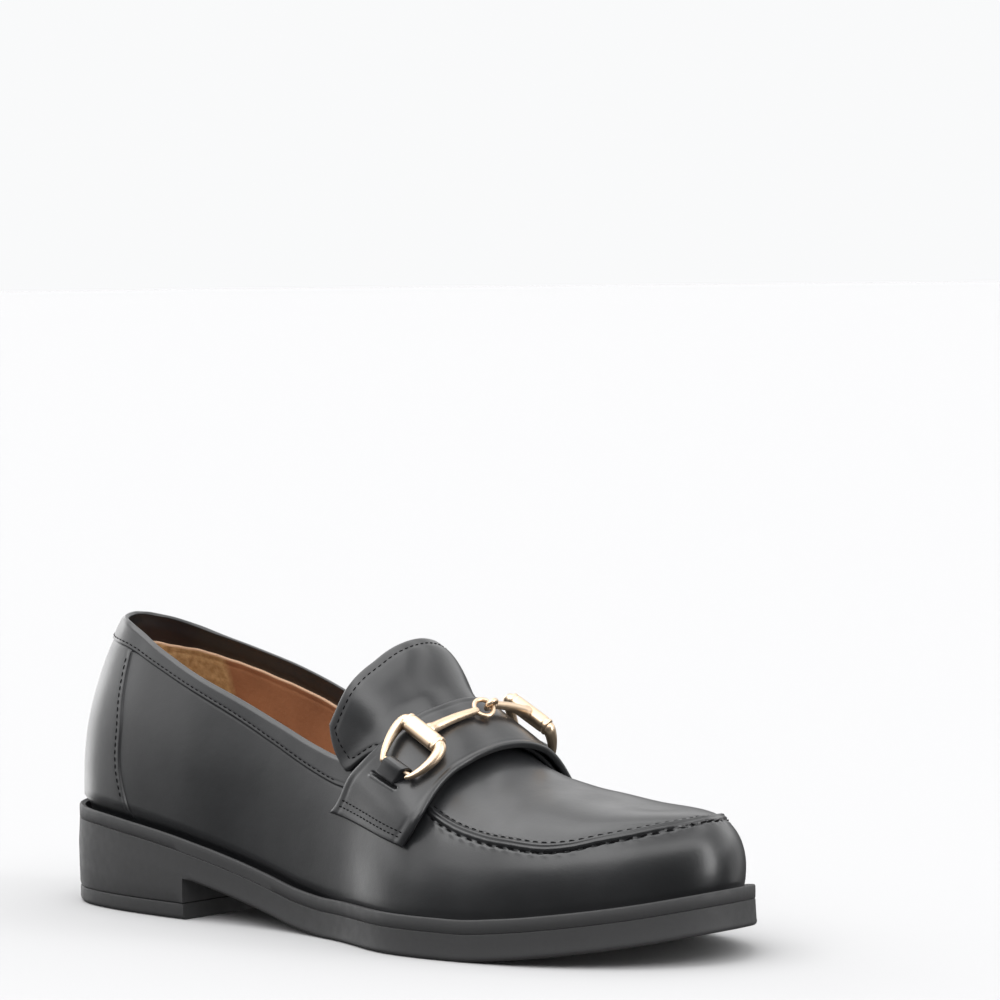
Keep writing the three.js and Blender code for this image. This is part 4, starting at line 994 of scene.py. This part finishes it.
def strap_faces():
    edge = np.array([0, 0.15, 0.45, 0.9, 1.5, 2.2])
    half = np.concatenate([edge, np.linspace(3, HALF_STRAP, 36)])
    slits = {side: slit_place(side) for side in SIDES}
    fine = np.arange(-2.4, 2.6, 0.2)
    near_slits = [HALF_STRAP + side * out + fine for side, (out, over) in slits.items()]
    lengths = np.concatenate([half, 2 * HALF_STRAP - half, *near_slits])
    widths = np.concatenate([edge, np.linspace(2.6, STRAP_WIDE - 2.6, 50), STRAP_WIDE - edge])
    long, wide = np.meshgrid(np.unique(lengths), np.unique(widths))
    side_near = np.minimum(wide, STRAP_WIDE - wide)
    near = np.minimum(np.minimum(long, 2 * HALF_STRAP - long), side_near)
    bead = 0.1 * bell(side_near, 1.3, 0.85) - 0.12 * bell(side_near, 2.6, 0.5)
    relief = bead * (near > 0.3)
    for side, (out, over) in slits.items():
        beyond = (long - HALF_STRAP) * side - out
        reach = np.abs(wide - over) - (TAB_WIDTH / 2 + 0.8)
        inside = 1 - smooth((reach + 0.6) / 1.2)
        relief -= SLIT_DEPTH * inside * bell(beyond, 0.2, 0.45)
        relief += SLIT_LIP * inside * bell(beyond, 1.35, 0.55)
    shape = STRAP / 2 * pillow(near, 1.0)
    across, width = long / HALF_STRAP - 1, wide / STRAP_WIDE
    return sheet_faces(
        strap_point(across, width, STRAP / 2 + shape + relief),
        strap_point(across, width, STRAP / 2 - shape),
    )


strap = solid("strap", [strap_faces()], leather, 70)
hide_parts("saddle_strap")

# Tongue
# One soft sheet 1.8 mm thick with rounded, stitched edges. It lies under the strap and stands
# free behind it, with two shallow creases left by wear and by the last.
TONGUE_FRONT, TONGUE_REAR, DRAWN_IN = 0.609, 0.511, 0.025
TONGUE_SIDE, UNDER_STRAP_SIDE = 0.37, 0.5
LIFT_LATERAL, LIFT_MEDIAL = 6, 7.5
HALF_TONGUE, TONGUE_LONG = 40.0, 44.0  # its grid: crown to one side, front to rear, about in mm
TONGUE_SEWN = 3.0  # from the edge to its row of stitches


def tongue_place(across, rearward):
    """around and turn on the tongue; rearward is 0 at its front edge and 1 at its rear."""
    under = smooth((0.76 - rearward) / 0.18)
    end = mix(TONGUE_SIDE, UNDER_STRAP_SIDE, under) + 0.13 * rearward**6
    turn = 1 - np.abs(across) * (1 - end)
    rear = TONGUE_REAR - DRAWN_IN * ((1 - turn) / 0.6) ** 2
    return mix(TONGUE_FRONT, rear, rearward), turn


def tongue_point(across, rearward, height):
    towards = np.clip(0.5 + across / 0.6, 0, 1)

    def place(side, across):
        around, turn = tongue_place(across, rearward)
        behind = along(STRAP_EDGES, 1, turn) + 0.003 - around
        free = smooth(behind / 0.052) * smooth((turn - 0.3) / 0.4)
        lift = free * mix(LIFT_LATERAL, LIFT_MEDIAL, towards)
        over_band = BAND_PROUD * smooth(behind / 0.02) * smooth((0.56 - turn) / 0.12)
        sag = smooth(behind / 0.02)
        crease = -0.55 * bell(turn, 0.78, 0.05) * (side == LATERAL)
        crease = crease + 0.3 * bell(turn, 0.62, 0.06) * (side == LATERAL)
        crease = crease - 0.3 * bell(behind, 0.02, 0.008)
        return above(side, around, turn, GAP + over_band + lift + height + crease * sag)

    return both_sides(across, place)


def tongue_faces():
    edge = np.array([0, 0.12, 0.35, 0.7, 1.2, 1.9])
    half = np.concatenate([edge, np.linspace(2.8, HALF_TONGUE - 0.6, 60), [HALF_TONGUE]])
    widths = np.concatenate([half, 2 * HALF_TONGUE - half])
    lengths = np.concatenate([edge, np.linspace(2.6, TONGUE_LONG - 2.6, 60), TONGUE_LONG - edge])
    wide, long = np.meshgrid(np.unique(widths), np.unique(lengths))
    side_near = np.minimum(wide, 2 * HALF_TONGUE - wide)
    near = np.minimum(side_near, np.minimum(long, TONGUE_LONG - long))
    shape = pillow(near, 0.9)
    groove = -0.2 * bell(near, TONGUE_SEWN, 0.4)
    across, rearward = wide / HALF_TONGUE - 1, long / TONGUE_LONG
    return sheet_faces(
        tongue_point(across, rearward, TONGUE / 2 * (1 + shape) + groove),
        tongue_point(across, rearward, TONGUE / 2 * (1 - shape)),
    )


flap = solid("tongue_flap", [tongue_faces()], leather, 70)
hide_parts("tongue")

# Snaffle
# Two halves of polished pale gilt metal: a rounded barrel, two horns that taper down to the tab,
# and an arm. The lateral arm ends in a ring, the medial one in an eye that passes round it.
BARREL_LENGTH, BARREL_WIDTH, BARREL_THICKNESS = 15.5, 5.5, 4.4
HORN, HORN_TIP, HORN_REACH, HORN_START, HORN_DEPTH = 2.0, 0.75, 0.9, 0.9, 0.8
HORN_ELBOW, HORN_BOW, CLOSE_HORN_ELBOW, CLOSE_HORN_BOW = 3.8, 1.12, 2.4, 0.95
ROD, ROD_LENGTH, ROD_BETWEEN = 0.7, 12.4, 0.93
ARM, ARM_END, RING, RING_WIRE, EYE_WIRE = 1.8, 1.2, 3.1, 0.75, 0.8
EYE = RING_WIRE + GAP + EYE_WIRE
TAB, BARREL_CLEARANCE, STAND_OFF, RING_TILT = 0.8, 1.1, 1.6, math.radians(12)
KNOT_AROUND, KNOT_Y = 0.586, 1.2
BARREL_PLACE = {  # rear and front end: around, turn
    LATERAL: ((0.564, 0.67), (0.597, 0.67)),
    MEDIAL: ((0.564, 0.705), (0.597, 0.67)),
}


def unit(v):
    return v / np.linalg.norm(v)


def on_strap(side, around, turn, height):
    return above(side, around, turn, strap_height(turn) + STRAP + height)


def snaffle_frame(side):
    lift = BARREL_CLEARANCE + BARREL_THICKNESS / 2 + STAND_OFF * (side == MEDIAL)
    ends = [on_strap(side, *place, lift) for place in BARREL_PLACE[side]]
    rods = [on_strap(side, *place, 2 * GAP + TAB + GAP + ROD) for place in ROD_PLACE[side]]
    barrel, rod = (ends[0] + ends[1]) / 2, (rods[0] + rods[1]) / 2
    ahead, rod_ahead = unit(ends[1] - ends[0]), unit(rods[1] - rods[0])
    inward = barrel - rod
    inward = unit(inward - ahead * inward.dot(ahead))
    face = unit(np.cross(ahead, inward) * -side)
    return barrel, rod, ahead, rod_ahead, inward, face


def link_frame():
    """Where the eye crosses the ring's wire, and the ring's radial, normal and wire directions."""
    knot = on_strap(LATERAL, KNOT_AROUND, 1.0, EYE + EYE_WIRE + 2 * GAP) + np.array([0, KNOT_Y, 0])
    reach = unit(knot - snaffle_frame(LATERAL)[0])
    flat = last_normal(LATERAL, KNOT_AROUND, 1.0)
    flat = unit(flat - reach * flat.dot(reach))
    flat = flat * math.cos(RING_TILT) + np.cross(reach, flat) * math.sin(RING_TILT)
    return knot, reach, flat, np.cross(flat, reach)


def swept(points, thick, wide_radius, thick_radius, sides=28, power=2.0, ends=(1, 1)):
    """One bar along points, closed at both ends with rounded caps that stand out by ends."""
    points = np.asarray(points)
    ahead = np.gradient(points, axis=0)
    ahead /= np.linalg.norm(ahead, axis=1, keepdims=True)
    wide = np.cross(thick, ahead)
    wide /= np.linalg.norm(wide, axis=1, keepdims=True)
    up = np.cross(ahead, wide)
    angle = 2 * np.pi * (np.arange(sides) + 0.5) / sides
    c, s = np.cos(angle), np.sin(angle)
    radius = (np.abs(c) ** power + np.abs(s) ** power) ** (-1 / power)
    count = len(points)
    half_wide = np.broadcast_to(wide_radius, count)
    half_thick = np.broadcast_to(thick_radius, count)

    def ring(i, scale, shift):
        centre = points[i] + ahead[i] * shift
        return (
            centre
            + wide[i] * (radius * c * half_wide[i] * scale)[:, None]
            + up[i] * (radius * s * half_thick[i] * scale)[:, None]
        )

    caps = np.linspace(0, np.pi / 2, 6)[1:]
    rings = [ring(0, math.cos(a), -ends[0] * math.sin(a)) for a in caps[::-1]]
    rings += [ring(i, 1, 0) for i in range(count)]
    rings += [ring(count - 1, math.cos(a), ends[1] * math.sin(a)) for a in caps]
    return [quads(np.array(rings), wrap_columns=True)]


def arched(a, b, c, t):
    """A curve from a to c, drawn towards b."""
    return a * (1 - t) ** 2 + 2 * b * t * (1 - t) + c * t**2


def hooked(a, b, c, d, t):
    """A curve from a to d, drawn towards b and then c."""
    return a * (1 - t) ** 3 + 3 * b * t * (1 - t) ** 2 + 3 * c * t**2 * (1 - t) + d * t**3


def hoop(centre, normal, first, radius, wire):
    """A ring of round wire; first is a direction in its plane."""
    second = np.cross(normal, first)
    rows = []
    for a in np.linspace(0, 2 * np.pi, 56, endpoint=False):
        radial = first * math.cos(a) + second * math.sin(a)
        rows.append([
            centre + radial * (radius + wire * math.cos(b)) + normal * wire * math.sin(b)
            for b in np.linspace(0, 2 * np.pi, 20, endpoint=False)
        ])
    return [quads(np.array(rows), wrap_rows=True, wrap_columns=True)]


def snaffle_half(side):
    """Closed forms of one half: barrel, two horns, rod, ring or eye, and arm."""
    barrel, rod, ahead, rod_ahead, inward, face = snaffle_frame(side)
    half, rod_half = ahead * BARREL_LENGTH / 2, rod_ahead * ROD_LENGTH / 2
    share = np.linspace(-0.94, 0.94, 60)
    notch = 1 - 0.1 * bell(np.abs(share), 0.8, 0.035)
    line = barrel + half * share[:, None]
    sizes = BARREL_WIDTH / 2 * notch, BARREL_THICKNESS / 2 * notch
    forms = [swept(line, face, *sizes, 40, 3.0, (0.5, 0.5))]
    t = np.linspace(0, 1, 40)
    taper = mix(HORN, HORN_TIP, t**1.5) * (1 + 0.06 * bell(t, 0.12, 0.1))
    for end in (-1, 1):
        close = (side, end) == (MEDIAL, 1)
        elbow_out = CLOSE_HORN_ELBOW if close else HORN_ELBOW
        bow_out = CLOSE_HORN_BOW if close else HORN_BOW
        start = barrel + half * end * HORN_START
        elbow = start + ahead * end * elbow_out
        bow = mix(barrel, rod, HORN_DEPTH) + half * end * bow_out
        tip = rod + rod_half * end - inward * HORN_REACH
        line = hooked(start, elbow, bow, tip, t[:, None])
        forms.append(swept(line, face, taper, taper, 28, 2.1, (HORN, HORN_TIP * 1.3)))
    pin = np.linspace(rod - rod_half * ROD_BETWEEN, rod + rod_half * ROD_BETWEEN, 8)
    forms.append(swept(pin, face, ROD, ROD, 20))
    knot, reach, flat, wire_ahead = link_frame()
    if side == LATERAL:
        ring = knot - reach * RING
        finish = ring - reach * RING
        forms.append(hoop(ring, flat, reach, RING, RING_WIRE))
    else:
        towards = barrel - knot
        towards = unit(towards - wire_ahead * towards.dot(wire_ahead))
        finish = knot + towards * EYE
        forms.append(hoop(knot, wire_ahead, flat, EYE, EYE_WIRE))
    middle = mix(barrel, finish, 0.5) + face * ARM
    leaves_barrel = BARREL_WIDTH / 2 / np.linalg.norm(finish - barrel)
    arm = mix(ARM, ARM_END, t) + 0.45 * bell(t, leaves_barrel, 0.07)
    forms.append(swept(arched(barrel, middle, finish, t[:, None]), face, arm, arm, 28))
    return forms


gilt, tree, surface = shader("gilt", (0.78, 0.6, 0.43), 0.35, 1.0)
tree.links.new(ranged(tree, noise(tree, 120, 3), 0.3, 0.4), surface.inputs["Roughness"])
bumped(tree, surface, [(noise(tree, 350, 2), 0.02)])


for side, word in zip(SIDES, ("lateral", "medial")):
    half = solid(f"snaffle_{word}", snaffle_half(side), gilt, 50)
    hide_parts(f"bit_half_{word}")

# Snaffle tabs
# On each side a flat leather tab, folded round the rod, both ends led down into a slit in the
# strap.
def tab_faces(side):
    """Faces of one tab: its folded profile in the plane across the rod, carried along the rod."""
    _, rod, _, rod_ahead, inward, _ = snaffle_frame(side)
    along_tab = unit(inward - rod_ahead * inward.dot(rod_ahead))
    out = unit(np.cross(rod_ahead, along_tab) * -side)
    slit = on_strap(side, SLIT_AROUND, slit_turn(side), -0.5) - rod
    foot = np.array([slit.dot(along_tab), slit.dot(out)])
    top = foot + np.array([0, TAB + 0.55])
    slanted = along_tab + rod_ahead * slit.dot(rod_ahead) / foot[0]
    inner_radius = ROD + 0.05
    radius = ROD + GAP + TAB
    leaves = math.atan2(top[1], top[0]) % (2 * np.pi) - math.acos(radius / np.hypot(*top))

    def arc(radius, start, end, count):
        angle = np.linspace(start, end, count)
        return np.stack([radius * np.cos(angle), radius * np.sin(angle)], 1)

    bend = arc(radius, -np.pi / 2, leaves, 30)
    share = np.linspace(0, 1, 12)[1:, None]
    sag = np.array([[0, -0.25]]) * np.sin(np.pi * share)
    upper = mix(bend[-1], top, share) + sag
    lower = mix(foot, bend[0], np.linspace(0, 1, 8)[:, None])[:-1]
    outer = np.concatenate([bend, upper, lower])
    hole = arc(inner_radius, -np.pi / 2, leaves, 30)
    rest = arc(inner_radius, leaves, 1.5 * np.pi, len(upper) + len(lower) + 2)[1:-1]
    inner = np.concatenate([hole, rest])
    middle = mix(outer, inner, 0.5)
    rows = []
    for share, shift in (
        (0, 0), (0.6, 0.05), (0.9, 0.18), (1, 0.5), (1, TAB_WIDTH / 2), (1, TAB_WIDTH - 0.5),
        (0.9, TAB_WIDTH - 0.18), (0.6, TAB_WIDTH - 0.05), (0, TAB_WIDTH),
        (-1, TAB_WIDTH - 0.3), (-1, 0.3),
    ):
        profile = mix(middle, outer if share > 0 else inner, abs(share))
        at = rod + rod_ahead * (shift - TAB_WIDTH / 2)
        rows.append(at + profile[:, :1] * slanted + profile[:, 1:] * out)
    return [quads(np.array(rows), wrap_rows=True, wrap_columns=True)]


for side, word in zip(SIDES, ("lateral", "medial")):
    tab = solid(f"tab_{word}", [tab_faces(side)], leather, 50)
    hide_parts(f"bit_tab_{word}")

# Stitches
# Black thread in rows, one short stitch after another: about 3 mm inside the tongue's edge, two
# rows on each end of the strap, on the collar band, behind the counter's edge, beside the seam.
# The thread is painted darker than the leather, as painted shade of the stitch holes.
# Darker than the leather: this colour is black thread plus painted shade of the stitch holes.
thread, tree, surface = shader("thread", (0.003, 0.003, 0.0035), 0.8, Specular_IOR_Level=0.1)
rng = np.random.default_rng(7)


def stitch_tree():
    tree = bpy.data.node_groups.new("stitch_row", "GeometryNodeTree")
    face = tree.interface
    face.new_socket("Geometry", in_out="INPUT", socket_type="NodeSocketGeometry")
    for name in ("Length", "Width", "Height"):
        face.new_socket(name, in_out="INPUT", socket_type="NodeSocketFloat")
    face.new_socket("Material", in_out="INPUT", socket_type="NodeSocketMaterial")
    face.new_socket("Geometry", in_out="OUTPUT", socket_type="NodeSocketGeometry")
    new, link = tree.nodes.new, tree.links.new
    source, target = new("NodeGroupInput"), new("NodeGroupOutput")
    ball = new("GeometryNodeMeshUVSphere")
    ball.inputs["Segments"].default_value = 8
    ball.inputs["Rings"].default_value = 6
    ball.inputs["Radius"].default_value = 0.5
    size = new("ShaderNodeCombineXYZ")
    for axis, name in zip("XYZ", ("Length", "Width", "Height")):
        link(source.outputs[name], size.inputs[axis])
    turns = []
    for name in ("along", "out"):
        node = new("GeometryNodeInputNamedAttribute")
        node.data_type = "FLOAT_VECTOR"
        node.inputs["Name"].default_value = name
        turns.append(node.outputs["Attribute"])
    first = new("FunctionNodeAlignRotationToVector")
    first.axis = "X"
    link(turns[0], first.inputs["Vector"])
    second = new("FunctionNodeAlignRotationToVector")
    second.axis = "Z"
    second.pivot_axis = "X"
    link(first.outputs["Rotation"], second.inputs["Rotation"])
    link(turns[1], second.inputs["Vector"])
    place = new("GeometryNodeInstanceOnPoints")
    link(source.outputs["Geometry"], place.inputs["Points"])
    link(ball.outputs["Mesh"], place.inputs["Instance"])
    link(second.outputs["Rotation"], place.inputs["Rotation"])
    link(size.outputs["Vector"], place.inputs["Scale"])
    real = new("GeometryNodeRealizeInstances")
    link(place.outputs["Instances"], real.inputs["Geometry"])
    smoothing = new("GeometryNodeSetShadeSmooth")
    link(real.outputs["Geometry"], smoothing.inputs["Geometry"])
    paint = new("GeometryNodeSetMaterial")
    link(smoothing.outputs["Geometry"], paint.inputs["Geometry"])
    link(source.outputs["Material"], paint.inputs["Material"])
    link(paint.outputs["Geometry"], target.inputs["Geometry"])
    return tree


STITCH_TREE = stitch_tree()


def stitches(name, rows, pitch, size):
    """Stitches of one size along rows of (points, outward directions), in millimetres."""
    points, directions, outs = [], [], []
    for line, out in rows:
        step = np.linalg.norm(np.diff(line, axis=0), axis=1)
        run = np.concatenate([[0], np.cumsum(step)])
        at = np.arange(pitch / 2, run[-1], pitch)
        spot = np.stack([np.interp(at, run, line[:, k]) for k in range(3)], 1)
        ahead = np.stack([np.interp(at + 0.3, run, line[:, k]) for k in range(3)], 1) - spot
        normal = np.stack([np.interp(at, run, out[:, k]) for k in range(3)], 1)
        ahead /= np.linalg.norm(ahead, axis=1, keepdims=True)
        sideways = np.cross(normal, ahead)
        lean = rng.normal(0, 0.05, len(at))[:, None]
        points.append(spot)
        directions.append(ahead * np.cos(lean) + sideways * np.sin(lean))
        outs.append(normal)
    points, directions, outs = map(np.concatenate, (points, directions, outs))
    mesh = bpy.data.meshes.new(name)
    mesh.from_pydata((points * MM).tolist(), [], [])
    for key, values in (("along", directions), ("out", outs)):
        data = mesh.attributes.new(key, "FLOAT_VECTOR", "POINT").data
        data.foreach_set("vector", values.reshape(-1))
    piece = bpy.data.objects.new(name, mesh)
    bpy.context.scene.collection.objects.link(piece)
    modifier = piece.modifiers.new("stitches", "NODES")
    modifier.node_group = STITCH_TREE
    wanted = dict(zip(("Length", "Width", "Height"), (s * MM for s in size)), Material=thread)
    for item in STITCH_TREE.interface.items_tree:
        if item.in_out == "INPUT" and item.name in wanted:
            modifier[item.identifier] = wanted[item.name]
    graph = bpy.context.evaluated_depsgraph_get()
    made = bpy.data.meshes.new_from_object(piece.evaluated_get(graph))
    piece.modifiers.clear()
    piece.data = made
    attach(piece, "root")


def on_skin(side, around, turn, lift):
    """A line just above the outer skin, with its outward directions."""
    around, turn = np.broadcast_arrays(around, turn)
    height = skin_height(side, around, turn) + lift
    return above(side, around, turn, height), last_normal(side, around, turn)


def sheet_row(point, first, second, height):
    """A line on a sheet with its outward directions: first and second run along and across."""
    height = np.full(len(first), height)
    line = point(first, second, height)
    out = point(first, second, height + 0.5) - line
    return line, out / np.linalg.norm(out, axis=1, keepdims=True)


at = np.linspace(SEAM_START + 0.008, 1, 260)
seam = along(SEAM, 1, at)
for name, across, lift, pitch, size in (
    ("plug_stitches", PLUG_LINE, 0.0, PLUG_PITCH, (1.9, 0.5, 0.35)),
    ("hand_stitches", HAND_LINE, 0.05, HAND_PITCH, (3.2, 0.9, 0.5)),
):
    rows = [on_skin(s, at, seam + across / turn_length(s, at, seam), lift) for s in SIDES]
    stitches(name, rows, pitch, size)

EDGE_SEWN = 1.1  # from edge to row: millimetres on the collar band, steps on the counter
EDGE_PITCH, EDGE_STITCH = 2.3, (1.6, 0.4, 0.4)
at = np.linspace(0.004, 0.5, 300)
rows = []
for side in SIDES:
    edge = edge_turn(side, at)
    down = (along(COLLAR, 3, at) - EDGE_SEWN) / turn_length(side, at, np.minimum(edge, 0.6))
    rows.append(on_skin(side, at, edge - down, 0.05))
stitches("collar_stitches", rows, EDGE_PITCH, EDGE_STITCH)

turn = np.linspace(0.075, 0.47, 120)
around = along(COUNTER, 1, turn)
around = around - EDGE_SEWN / (COUNTER_SCALE * np.sin(np.pi * around))
rows = []
for side in SIDES:
    band = along(COLLAR, 3, around)
    below_band = turn < edge_turn(side, around) - (band + 0.4) / turn_length(side, around, turn)
    rows.append(on_skin(side, around[below_band], turn[below_band], 0.05))
stitches("counter_stitches", rows, EDGE_PITCH, EDGE_STITCH)

width = np.linspace(0.06, 0.94, 80)
rows = [
    sheet_row(strap_point, np.full(80, end * (1 - inside / HALF_STRAP)), width, STRAP + 0.05)
    for end in (-1, 1)
    for inside in (2.6, 4.3)
]
stitches("strap_stitches", rows, 2.0, (1.35, 0.45, 0.4))

rearward = np.linspace(0.45, 1 - TONGUE_SEWN / TONGUE_LONG, 80)
side_line = 1 - TONGUE_SEWN / HALF_TONGUE
across = np.linspace(-side_line, side_line, 160)
first = np.concatenate([np.full(80, -side_line), across, np.full(80, side_line)])
second = np.concatenate([rearward, np.full(160, rearward[-1]), rearward[::-1]])
line = sheet_row(tongue_point, first, second, TONGUE - 0.1)
stitches("tongue_stitches", [line], 2.2, (1.5, 0.4, 0.4))
